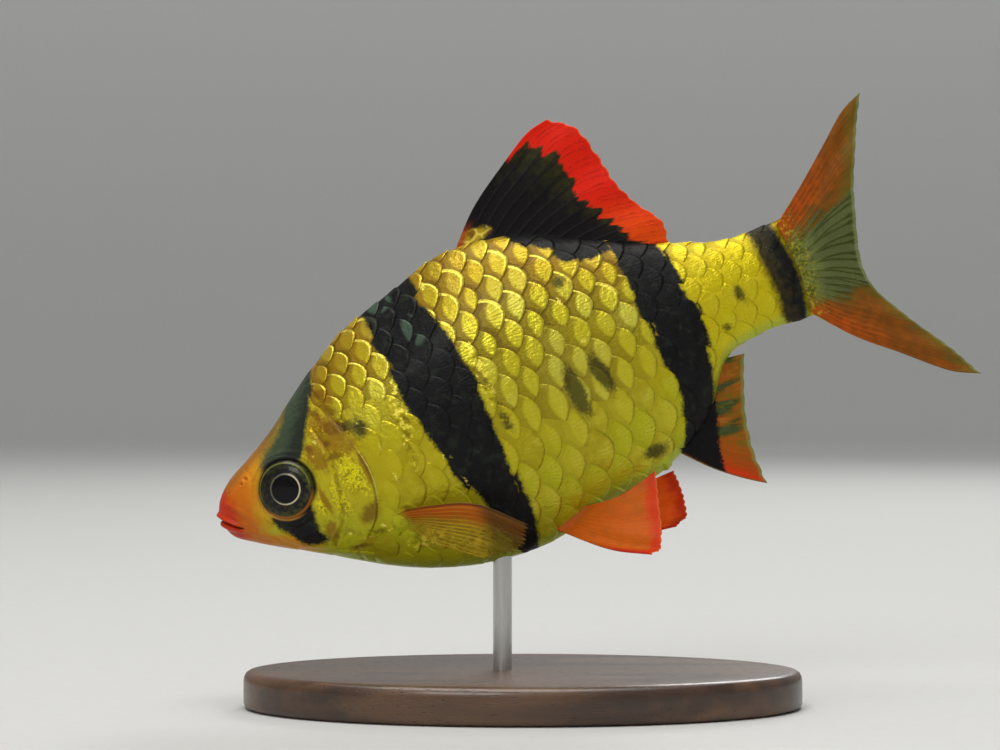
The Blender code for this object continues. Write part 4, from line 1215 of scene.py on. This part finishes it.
# The olive wisps are painted on the lower rear side only, as painted light.
olive_wisps = radius.step(1.55, 2.0) * wisps.step(0.35, 0.6) * painted_lit_side.step(0.1, 0.7)
iris = iris.painted(IRIS_OLIVE, olive_wisps * 0.8)
olive_edge = (radius + (grain - 0.5) * 0.08 - 2.06).size().step(0.085, 0.02)
iris = iris.painted(IRIS_EDGE, olive_edge * upward.step(-0.6, 0.2) * 0.75)
iris = iris.painted(IRIS_BELOW, radius.step(2.05, 2.2) * upward.step(-0.25, -0.75) * 0.9)
# The pupil's pale ring, painted brighter on the lower rear side as painted light.
pale_ring = ((ring - PUPIL_RADIUS - 0.06).size() + (grain - 0.5) * 0.05).step(0.085, 0.025)
iris = iris.painted(PUPIL_RING, pale_ring * (0.22 + painted_lit_side.step(0.15, 0.95) * 0.78))
iris = iris.painted(PUPIL_BLACK, ring.step(PUPIL_RADIUS, PUPIL_RADIUS - 0.05))
feed(eye_finish, base_color=iris, metallic=pale_ring * 0.3)

for name, node, hand in (("eyeball_left", "eye_left", -1), ("eyeball_right", "eye_right", 1)):
    centre, eye_along, eye_up, eye_out = eye_axes(hand)
    reach = eye_u[..., None] * eye_along + eye_v[..., None] * eye_up
    points = (centre + reach + eye_level[..., None] * eye_out).reshape(-1, 3)
    marks = {
        "ring": from_pupil.ravel(),
        "radius": np.hypot(eye_u, eye_v).ravel(),
        "upward": np.broadcast_to(np.sin(eye_turn), eye_u.shape).ravel(),
        "painted_lit_side": (0.5 + 0.5 * np.cos(np.arctan2(eye_v, eye_u) + 0.75)).ravel(),
        "at": points,
    }
    ball = add_piece(name, swimming(points), eye_faces, eye_finish, marks)
    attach(ball, "root")
    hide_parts(node)


# The dorsal fin
# A thin sail of skin between soft rays that fork towards the margin. The rays stand in the
# back between the two sides' scales, black and olive below a scarlet margin.

FIN_ROWS, RAY_COLUMNS = 64, 14  # rows of points along a fin, and columns from ray to ray
WEB_THICK, WEB_THINNING = 0.055, 0.025  # half of the skin between the rays, and to the margin
DORSAL_RED = (
    (31.0, 17.3), (31.6, 17.2), (33.4, 17.95), (34.1, 17.0), (34.9, 16.4), (35.3, 15.6), (35.6, 14.3),
    (35.7, 12.9), (36.3, 12.0), (36.9, 10.5), (37.7, 9.1), (38.4, 7.7), (39.6, 6.7), (42.0, 6.0),
    (43.0, 20.5), (31.0, 20.5),
)
DORSAL_SHEATH = ((26.7, 12.75, 1.7, 0.7, 0.0),)
FIN_BLACK, OLIVE_WEB = (0.004, 0.003, 0.004), (0.036, 0.040, 0.006)
SHEATH_GOLD, SHEATH_BROWN, SHEATH_RIM = (0.46, 0.33, 0.012), (0.22, 0.10, 0.004), (0.85, 0.70, 0.10)
SPINE_RED = (0.36, 0.055, 0.003)
SCARLET, SCARLET_REAR = (0.70, 0.014, 0.002), (0.80, 0.072, 0.002)
SCARLET_RAY, SCARLET_MARGIN = (0.30, 0.006, 0.002), (0.80, 0.14, 0.03)
REAR_EDGE = (0.13, 0.13, 0.03)


def edge_curve(points):
    """A smooth curve through a few points, read from 0 at the first to 1 at the last."""
    return smooth_curve(np.linspace(0.0, 1.0, len(points)), np.array(points, float))


def coons(root, margin, leading, trailing, across, along):
    """The fin's sheet, stretched between its four edges, at shares across and along it."""
    root, margin, leading, trailing = map(edge_curve, (root, margin, leading, trailing))
    a, b = across[..., None], along[..., None]
    corners = (
        (1 - a) * (1 - b) * root(0.0)
        + a * (1 - b) * root(1.0)
        + (1 - a) * b * margin(0.0)
        + a * b * margin(1.0)
    )
    edges = (
        (1 - b) * root(across)
        + b * margin(across)
        + (1 - a) * leading(along)
        + a * trailing(along)
    )
    return edges - corners


def outline_point(outline, x, clear):
    """A point that far above the outline of the back or the belly, square to it."""
    slope = (outline(x + 0.1) - outline(x - 0.1)) / 0.2
    length = math.hypot(slope, 1.0)
    return (x - clear * slope / length, 0.0, float(outline(x)) + clear / length)


def ray_pattern(cell, along, fork, forks_again):
    """How strongly a ray stands at each place: 1 on its crest, forking in two and in four."""
    off = np.abs(cell - np.round(cell))
    first = 0.19 * smooth_step(fork, fork + 0.55, along)
    second = 0.085 * smooth_step(forks_again, forks_again + 0.3, along)
    width = 0.105 - 0.055 * smooth_step(0.0, 0.8, along)
    return hump(np.abs(np.abs(off - first) - second), width)


def fin(name, edges, rays, material, root_thick, ridge, fork, wave=0.06, notch=0.03, paint=None):
    """A fin as one closed sheet with its forking rays raised on both faces.

    The rays first part at fork, as a share of their length. The function paint works out
    further values for the finish from the fin's places seen from the side.
    """
    columns = (rays - 1) * RAY_COLUMNS + 1
    across, along = np.meshgrid(np.linspace(0.0, 1.0, columns), np.linspace(0.0, 1.0, FIN_ROWS) ** 0.9)
    cell = across * (rays - 1)
    ray = ray_pattern(cell, along, fork, 0.68)
    dip = (1 - ray_pattern(cell, np.ones_like(along), 0.2, 0.9)) * 0.15
    dip = dip + np.sin(math.pi * (cell % 1.0)) ** 2 * 0.75
    draw = np.random.default_rng(len(name) + rays)
    ragged = np.interp(cell, np.arange(rays), draw.normal(0.0, 0.25, rays))
    reach = along - notch * (dip + ragged * 0.4 + 0.1) * smooth_step(0.80, 1.0, along)
    sheet = coons(*edges, across, reach)
    normal = np.cross(np.gradient(sheet, axis=0), np.gradient(sheet, axis=1))
    normal /= np.maximum(np.linalg.norm(normal, axis=2, keepdims=True), 1e-9)
    steps = np.diff(sheet, axis=0, prepend=sheet[:1])
    length = np.cumsum(np.linalg.norm(steps, axis=2), axis=0)
    ripple = wave * np.sin(cell * 1.7 + 2.2 * along + len(name)) * smooth_step(0.1, 1.0, along)
    web = WEB_THICK - WEB_THINNING * along
    raised = ridge * (1 - 0.8 * along) * ray
    flesh = 0.5 * root_thick * hump(length, 0.9)
    thick = np.maximum(web + raised, flesh)
    thin_edge = np.minimum(np.minimum(across, 1 - across) * (rays - 1) * 6.0 + 0.35, 1.0)
    thick = thick * thin_edge * (1 - 0.55 * smooth_step(0.97, 1.0, along))
    middle = sheet + ripple[..., None] * normal
    faces = [middle + out * thick[..., None] * normal for out in (1, -1)]
    points = np.concatenate([face.reshape(-1, 3) for face in faces])
    fields = {
        "ray": ray,
        "cell": cell,
        "along": along,
        "across": across,
        "length": length,
        "to_margin": length[-1] - length,
    }
    marks = {key: np.tile(values.ravel(), 2) for key, values in fields.items()}
    marks["at"] = np.tile(sheet.reshape(-1, 3), (2, 1))
    if paint:
        marks.update(paint(marks["at"][:, 0], marks["at"][:, 2]))
    return add_piece(name, swimming(points), sheet_faces(FIN_ROWS, columns), material, marks)


def fin_places(start):
    """The values that all the fins' finishes are painted from."""
    names = ("ray", "along", "cell", "length", "to_margin", "across")
    return [start.fish_place()] + [start.attribute(name) for name in names]


def streaked(start, cell, length, scale):
    """A noise drawn out along the rays."""
    place = start.node("ShaderNodeCombineXYZ", {}, {"X": cell * scale, "Y": length * 0.25})
    return place.noise(1.0, 3.0)


def ray_bump(start, place, length, ray):
    """The joints across the rays and the fine creases of the skin between them."""
    joints = (length * 15.0).sine().step(0.75, 1.0) * ray.step(0.3, 0.8) * length.step(1.0, 2.5)
    return start.bump(place.noise(7.0, 3.0) * 0.8 - joints * 0.6, 0.03)


def sail_paint(u, v):
    return {"red": outline_depth(u, v, DORSAL_RED), "sheath": glow(u, v, DORSAL_SHEATH)}


sail_root = [outline_point(back, x, -0.7) for x in np.linspace(24.6, 36.4, 5)]
sail_front = (sail_root[0], (27.6, 0, 14.75), (31.0, 0, 17.05), (33.7, 0, 18.65), (35.7, 0, 19.12))
sail_margin = (
    sail_front[-1], (37.55, 0, 17.6), (38.4, 0, 14.8), (38.85, 0, 12.4), (39.8, 0, 10.3),
    (41.1, 0, 8.2), (40.95, 0, 6.5),
)
sail_rear = (sail_root[-1], (38.4, 0, 7.2), sail_margin[-1])

sail_finish, start = start_material(
    "dorsal_fin", specular_ior_level=0.12, subsurface_weight=0.1, subsurface_scale=0.0004
)
place, ray, along_here, cell, length, to_margin, across = fin_places(start)
web, fine = place.noise(1.4, 4.0), place.noise(6.0, 2.0)
streaks = streaked(start, cell, length, 1.5)
zigzag = (cell * (2 * math.pi)).sine() * 0.16 + (streaks - 0.5) * 2.6 + (fine - 0.5) * 0.4
red = (start.attribute("red") + zigzag + (ray - 0.5) * 0.1).step(-0.18, 0.18)
clear = (1 - ray) * (along_here + (web - 0.5) * 0.5).step(0.35, 0.85)
shade = start.mix(FIN_BLACK, OLIVE_WEB, clear)
sheath = (start.attribute("sheath") + (web - 0.5) * 0.6 + (fine - 0.5) * 0.3).step(0.35, 0.70)
tiles = start.node(
    "ShaderNodeTexVoronoi", {"feature": "DISTANCE_TO_EDGE"}, {"Vector": place, "Scale": 0.9}
)
scaly = start.mix(SHEATH_GOLD, SHEATH_BROWN, web.step(0.42, 0.62))
scaly = scaly.painted(SHEATH_RIM, tiles.step(0.13, 0.05) * 0.8)
shade = shade.painted(scaly, sheath * 0.9)
front = (across + (fine - 0.5) * 0.04).step(0.07, 0.02) * length.step(3.4, 1.4)
shade = shade.painted(SPINE_RED, front * 0.9)
scarlet = start.mix(SCARLET, SCARLET_REAR, across.step(0.50, 0.95))
scarlet = scarlet.painted(SCARLET_RAY, ray.step(0.25, 0.9) * web.step(0.38, 0.62) * 0.5)
scarlet = scarlet.painted(SCARLET_MARGIN, to_margin.step(0.14, 0.03) * 0.6)
rear_edge = (1 - across.step(1.0, 0.965)) * along_here.step(0.8, 0.2) * web.step(0.3, 0.5)
shade = shade.painted(REAR_EDGE, rear_edge)
shade = shade.painted(scarlet, red)
feed(
    sail_finish,
    base_color=shade,
    roughness=0.50 + (fine - 0.5) * 0.1,
    normal=ray_bump(start, place, length, ray),
)
sail = fin(
    "dorsal_sail", (sail_root, sail_margin, sail_front, sail_rear), 13, sail_finish,
    root_thick=0.5, ridge=0.05, fork=0.35, wave=0.12, notch=0.022, paint=sail_paint,
)
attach(sail, "root")
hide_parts("dorsal_fin")


# The anal fin
# A smaller fin of the same make behind the vent, clear between bands of orange, with a red
# point and a pale margin. The black bar above it runs down into its base.

ANAL_CLEAR = (
    (40.6, -5.6, 1.9, 0.55, 0.0),
    (40.0, -7.25, 1.8, 0.55, 0.0),
    (39.6, -8.85, 1.6, 0.6, 0.0),
    (41.9, -3.7, 0.9, 0.4, 0.0),
)
CLEAR_WEB, CLEAR_RAY = (0.045, 0.065, 0.006), (0.22, 0.20, 0.03)
FIN_OCHRE, FIN_ORANGE = (0.17, 0.10, 0.005), (0.34, 0.075, 0.003)
FIN_RED = (0.58, 0.030, 0.003)
PALE_MARGIN, PALE_FRONT = (0.20, 0.22, 0.05), (0.20, 0.16, 0.03)


def keel_paint(u, v):
    bar = np.max([outline_depth(u, v, outline) for outline in BARS[:2]], axis=0)
    return {"clear": glow(u, v, ANAL_CLEAR), "bar": bar}


keel_root = [outline_point(belly, x, 0.6) for x in np.linspace(35.4, 41.4, 5)]
keel_front = (keel_root[0], (37.3, 0, -11.15), (39.3, 0, -12.85), (41.05, 0, -14.05))
keel_margin = (
    keel_front[-1], (41.0, 0, -11.4), (41.45, 0, -8.6), (42.3, 0, -6.0), (43.2, 0, -3.85),
)
keel_rear = (keel_root[-1], keel_margin[-1])

keel_finish, start = start_material("anal_fin", specular_ior_level=0.12)
place, ray, along_here, cell, length, to_margin, across = fin_places(start)
web, fine = place.noise(1.5, 4.0), place.noise(6.0, 2.0)
streaks = streaked(start, cell, length, 1.6)
clear = (start.attribute("clear") + (streaks - 0.5) * 2.2 + (web - 0.5) * 0.5).step(0.30, 0.85)
orange_share = (web * 0.7 + to_margin * 0.05 + ray * 0.1).step(0.30, 0.52)
shade = start.mix(FIN_OCHRE, FIN_ORANGE, orange_share)
shade = shade.painted(CLEAR_WEB, clear)
shade = shade.painted(CLEAR_RAY, ray * web.step(0.45, 0.6) * length.step(3.5, 1.5) * 0.7)
tip = (across + (web - 0.5) * 0.2).step(0.34, 0.05) * length.step(1.5, 3.6)
shade = shade.painted(FIN_RED, tip * (0.45 + (1 - across.step(0.0, 0.14)) * 0.5))
shade = shade.painted(PALE_MARGIN, (to_margin + (fine - 0.5) * 0.2).step(0.42, 0.12) * 0.8)
black = start.attribute("bar") + (fine - 0.5) * 0.6 + (web - 0.5) * 0.5
black = black.step(-0.15, 0.18)
shade = shade.painted(FIN_BLACK, black)
shade = shade.painted(PALE_FRONT, across.step(0.02, 0.0) * 0.8)
feed(
    keel_finish,
    base_color=shade,
    alpha=1 - clear * (1 - ray) * (1 - black) * 0.22,
    roughness=0.48 - ray * 0.06,
    normal=ray_bump(start, place, length, ray),
)
keel = fin(
    "anal_sail", (keel_root, keel_margin, keel_front, keel_rear), 9, keel_finish,
    root_thick=0.8, ridge=0.045, fork=0.2, paint=keel_paint,
)
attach(keel, "root")
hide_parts("anal_fin")


# The tail fin
# A deeply forked fan whose rays spring from the end of the spine. The lobes are orange,
# the middle is clear with dark rays, and the rear edge is a thin pale line.

CLEAR_TAIL = (
    (49.0, 3.0), (51.0, 3.4), (52.6, 4.2), (54.4, 4.6), (56.5, 5.2), (56.5, -3.2), (54.6, -2.4),
    (52.4, -2.9), (50.6, -2.5), (49.0, -2.0),
)
LOBE_ORANGE, LOBE_RED = (0.24, 0.070, 0.004), (0.44, 0.070, 0.002)
LOBE_STREAK, LOBE_SHADE = (0.40, 0.080, 0.003), (0.13, 0.045, 0.004)
LOBE_INNER = (0.13, 0.105, 0.010)
GLASS_GREEN, GLASS_PALE = (0.080, 0.100, 0.008), (0.20, 0.23, 0.05)
DARK_RAY = (0.018, 0.024, 0.006)
TAIL_RIM, TAIL_LEADING = (0.20, 0.24, 0.07), (0.40, 0.32, 0.06)


def fan_paint(u, v):
    return {"clear": outline_depth(u, v, CLEAR_TAIL)}


fan_root = ((49.25, 0, 4.6), (49.45, 0, 2.7), (49.6, 0, 0.85), (49.45, 0, -1.05), (49.25, 0, -2.9))
fan_upper = (fan_root[0], (52.2, 0, 6.75), (55.0, 0, 9.0), (57.4, 0, 10.95), (59.35, 0, 11.85))
fan_lower = (fan_root[-1], (51.8, 0, -5.9), (54.6, 0, -8.4), (57.6, 0, -11.1), (59.95, 0, -12.35))
fan_margin = (
    fan_upper[-1], (57.6, 0, 8.4), (55.7, 0, 3.9), (54.4, 0, -1.6), (55.9, 0, -5.4),
    (58.2, 0, -9.1), fan_lower[-1],
)

fan_finish, start = start_material("tail_fin", specular_ior_level=0.12)
place, ray, along_here, cell, length, to_margin, across = fin_places(start)
web, fine = place.noise(1.2, 4.0), place.noise(6.0, 2.0)
streaks = streaked(start, cell, length, 1.2)
clear = (start.attribute("clear") + (web - 0.5) * 1.6 + (streaks - 0.5) * 3.2).step(-1.0, 0.9)
from_middle = (across - 0.5).size()
lobe = start.mix(LOBE_ORANGE, LOBE_RED, from_middle.step(0.22, 0.42) * length.step(8.5, 2.5))
lobe = lobe.painted(LOBE_STREAK, streaks.step(0.50, 0.72) * 0.6)
lobe = lobe.painted(LOBE_SHADE, (1 - ray) * web.step(0.35, 0.6) * 0.6)
lobe = lobe.painted(LOBE_INNER, (to_margin + (streaks - 0.5) * 3.0).step(2.2, 0.5) * 0.65)
glass = start.mix(GLASS_GREEN, GLASS_PALE, length.step(3.4, 0.8) * web.step(0.35, 0.6) * 0.8)
glass = glass.painted(DARK_RAY, ray * along_here.step(0.15, 0.4) * 0.8)
shade = lobe.painted(glass, clear)
scaled = length.step(1.9, 0.5) * place.noise(3.4, 2.0).step(0.50, 0.66)
shade = shade.painted(TAIL_ROOT_GOLD, scaled * 0.85)
shade = shade.painted(TAIL_RIM, (to_margin + (fine - 0.5) * 0.15).step(0.42, 0.12) * 0.75)
leading = (1 - from_middle.step(0.5, 0.487)) * length.step(5.0, 1.0) * web.step(0.4, 0.6)
shade = shade.painted(TAIL_LEADING, leading * 0.8)
feed(
    fan_finish,
    base_color=shade,
    alpha=1 - clear * (1 - ray) * 0.28 - to_margin.step(0.4, 0.1) * 0.15,
    roughness=0.48 - ray * 0.06,
    normal=ray_bump(start, place, length, ray),
)
fan = fin(
    "tail_fan", (fan_root, fan_margin, fan_upper, fan_lower), 23, fan_finish,
    root_thick=1.1, ridge=0.055, fork=0.12, wave=0.1, notch=0.015, paint=fan_paint,
)
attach(fan, "root")
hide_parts("caudal_fin")


# The pectoral fins
# A thin paddle on each flank behind the gill cover, its rays golden, the skin between them
# almost clear, and the strong upper rays a reddish brown. Each lies back along the body.

PADDLE_WEB, PADDLE_RAY = (0.34, 0.21, 0.006), (0.70, 0.45, 0.025)
PADDLE_RED, PADDLE_EDGE = (0.46, 0.080, 0.003), (0.12, 0.035, 0.004)
PADDLE_ROOT, PADDLE_END = (0.42, 0.30, 0.010), (0.050, 0.030, 0.004)


def beside(x, z, clear, hand):
    """A point off the side of the body, on the left for a hand of -1 and the right for 1."""
    point = np.array([x, -float(side(x, z)), z]) + side_normal(x, z) * clear
    return tuple(point * np.array([1.0, -hand, 1.0]))


paddle_finish, start = start_material("pectoral_fin", specular_ior_level=0.14)
place, ray, along_here, cell, length, to_margin, across = fin_places(start)
web = place.noise(1.5, 4.0)
upper = (across + (web - 0.5) * 0.2).step(0.52, 0.20)
shade = start.mix(PADDLE_WEB, PADDLE_RAY, ray * 0.9)
shade = shade.painted(PADDLE_RED, upper * (1 - ray * 0.45) * 0.95)
shade = shade.painted(PADDLE_EDGE, across.step(0.07, 0.02) * 0.85)
shade = shade.painted(PADDLE_ROOT, length.step(1.6, 0.7) * 0.8)
shade = shade.painted(PADDLE_END, length.step(6.8, 8.6) * 0.8)
strong = across.step(0.85, 0.5)
solid = (upper * 0.85).most(ray * (0.45 + strong * 0.5)).most(strong * 0.35)
feed(
    paddle_finish,
    base_color=shade,
    alpha=0.22 + solid * 0.76,
    roughness=0.42 - ray * 0.06,
    normal=ray_bump(start, place, length, ray),
)
for name, node, hand in (
    ("pectoral_left", "pectoral_fin_left", -1),
    ("pectoral_right", "pectoral_fin_right", 1),
):
    root = (beside(12.9, -5.2, -0.5, hand), beside(13.5, -6.7, -0.5, hand))
    leading = (root[0], (15.9, hand * 5.75, -5.5), (19.3, hand * 6.7, -6.7), (22.4, hand * 7.0, -9.6))
    margin = (leading[-1], (21.4, hand * 6.6, -11.1), (18.4, hand * 5.9, -10.9))
    trailing = (root[-1], (15.7, hand * 5.4, -8.7), margin[-1])
    edges = (root, margin, leading, trailing)
    paddle = fin(name, edges, 13, paddle_finish, root_thick=0.7, ridge=0.045, fork=0.3)
    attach(paddle, "root")
    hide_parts(node)


# The pelvic fins
# A pair under the belly, bright orange red with fine rays and a deeper red along the front
# and rear edges. The left one is spread towards the viewer and the right one trails.

SKIRT_WEB, SKIRT_RAY = (0.46, 0.085, 0.002), (0.53, 0.105, 0.003)
SKIRT_CLOUD, SKIRT_PAINTED_BACKLIGHT = (0.36, 0.080, 0.002), (1.0, 0.13, 0.006)
SKIRT_LOWER, SKIRT_REAR = (0.42, 0.008, 0.003), (0.50, 0.020, 0.002)
SKIRT_MARGIN = (0.62, 0.16, 0.03)

skirt_finish, start = start_material(
    "pelvic_fin", specular_ior_level=0.12, subsurface_weight=0.15, subsurface_scale=0.0005
)
place, ray, along_here, cell, length, to_margin, across = fin_places(start)
web, fine = place.noise(1.0, 4.0), place.noise(6.0, 2.0)
shade = start.mix(SKIRT_WEB, SKIRT_RAY, ray * 0.7)
shade = shade.painted(SKIRT_CLOUD, web.step(0.42, 0.68) * 0.6)
# The right fin is painted brighter and redder: painted light, as if lit through from behind.
shade = shade.painted(SKIRT_PAINTED_BACKLIGHT, place.axis(1).step(0.2, 0.9) * 0.85)
lower = (across + (fine - 0.5) * 0.08).step(0.16, 0.02) * along_here.step(0.25, 0.7)
shade = shade.painted(SKIRT_LOWER, lower * 0.9)
rear = (to_margin + (web - 0.5) * 1.1).step(1.5, 0.3) * along_here.step(0.5, 0.8)
shade = shade.painted(SKIRT_REAR, rear * 0.85)
shade = shade.painted(SKIRT_MARGIN, to_margin.step(0.14, 0.03) * 0.6)
feed(
    skirt_finish,
    base_color=shade,
    roughness=0.46 - ray * 0.05,
    normal=ray_bump(start, place, length, ray),
)
for name, node, hand, spread, reach in (
    ("pelvic_left", "pelvic_fin_left", -1, 3.6, 0.0),
    ("pelvic_right", "pelvic_fin_right", 1, 0.8, 3.0),
):
    root = (beside(24.0, -11.25, -0.5, hand), beside(26.4, -10.5, -0.5, hand))
    tip = (30.3 + reach, hand * (3.2 + spread), -15.35 + 0.2 * reach)
    inner = (33.15 + 0.5 * reach, hand * 1.5, -9.75 - 0.2 * reach)
    leading = (root[0], (27.3 + 0.4 * reach, hand * (2.6 + 0.45 * spread), -13.75), tip)
    rounding = (31.35 + reach, hand * (3.0 + 0.8 * spread), -14.85 + 0.2 * reach)
    margin = (tip, rounding, (32.3 + 0.8 * reach, hand * (2.4 + 0.4 * spread), -12.4), inner)
    trailing = (root[-1], (29.6 + 0.3 * reach, hand * 2.0, -10.45), inner)
    edges = (root, margin, leading, trailing)
    skirt = fin(
        name, edges, 12, skirt_finish, root_thick=0.7, ridge=0.03, fork=0.1, wave=0.1, notch=0.012
    )
    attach(skirt, "root")
    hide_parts(node)


# The studio
# A pale paper sweep under one soft light overhead, an equal pair off the fish's two sides
# and a wide one at the ceiling. The camera is level with the fish, off its left side.

CAMERA_AT = (-0.0018, -0.219, 0.0262)
FISH_MIDDLE = Vector((0.0, 0.0, 0.028))
SWEEP_RADIUS, SWEEP_BEND, SWEEP_HEIGHT, SWEEP_SEGMENTS = 1.3, 0.4, 1.5, 96
FLOOR_GREY, FLOOR_FIBRE, WALL_WHITE = (0.50, 0.50, 0.488), (0.54, 0.54, 0.528), (0.84, 0.84, 0.83)
WARM_WHITE, WHITE, SKY_WHITE = (1.0, 0.985, 0.95), (1.0, 1.0, 1.0), (0.80, 0.82, 0.85)
LIGHTS = (  # name, place, size, watts and colour
    ("overhead", (-0.04, -0.08, 0.48), (0.36, 0.28), 1.5, WARM_WHITE),
    ("near_side", (-0.14, -0.44, 0.34), (0.20, 0.20), 0.85, WHITE),
    ("far_side", (0.14, 0.44, 0.34), (0.20, 0.20), 0.85, WHITE),
    ("ceiling", (0.0, 0.0, 1.4), (1.6, 1.6), 8.0, WHITE),
)

bend = np.linspace(0.0, 0.5 * math.pi, 17)
bend_r = SWEEP_RADIUS - SWEEP_BEND + SWEEP_BEND * np.sin(bend)
bend_z = SWEEP_BEND - SWEEP_BEND * np.cos(bend)
sweep_r = np.concatenate([[0.001, 0.05, 0.2, 0.5], bend_r, [SWEEP_RADIUS]])[:, None]
sweep_z = np.concatenate([[0.0, 0.0, 0.0, 0.0], bend_z, [SWEEP_HEIGHT]])[:, None]
turn = np.linspace(0.0, 2 * math.pi, SWEEP_SEGMENTS, endpoint=False)
sweep_points = np.stack(
    [sweep_r * np.cos(turn), sweep_r * np.sin(turn), sweep_z + 0 * turn], axis=-1
).reshape(-1, 3)
sweep_wall = grid_faces(len(sweep_r), SWEEP_SEGMENTS, closed=True)
sweep_faces = np.vstack([sweep_wall, ring_cap(0, SWEEP_SEGMENTS)[:, ::-1]])
paper, start = start_material("paper", roughness=0.85)
place = start.world_place()
floor = start.mix(FLOOR_GREY, FLOOR_FIBRE, place.noise(900.0, 3.0))
# The wall is painted whiter than the floor: painted light where the lamps reach it less.
feed(paper, base_color=floor.painted(WALL_WHITE, place.axis(2).step(0.0, 0.5)))
backdrop = add_piece("paper_sweep", sweep_points, sweep_faces, paper)

studio = bpy.context.scene
for name, place, size, watts, colour in LIGHTS:
    panel = bpy.data.lights.new(name, "AREA")
    panel.shape = "RECTANGLE"
    panel.size, panel.size_y = size
    panel.energy = watts
    panel.color = colour
    light = bpy.data.objects.new(name, panel)
    light.location = place
    light.rotation_mode = "QUATERNION"
    light.rotation_quaternion = (FISH_MIDDLE - Vector(place)).to_track_quat("-Z", "Y")
    studio.collection.objects.link(light)
studio.world = bpy.data.worlds.new("studio")
studio.world.use_nodes = True
sky = studio.world.node_tree.nodes["Background"]
sky.inputs["Color"].default_value = (*SKY_WHITE, 1.0)
sky.inputs["Strength"].default_value = 0.12
studio.view_settings.view_transform = "Standard"

optics = bpy.data.cameras.new("camera")
optics.lens, optics.sensor_width = 100.0, 36.0
optics.clip_start, optics.clip_end = 0.01, 10.0
camera = bpy.data.objects.new("camera", optics)
camera.location = CAMERA_AT
camera.rotation_euler = (math.radians(90.0), 0.0, 0.0)
studio.collection.objects.link(camera)
studio.camera = camera
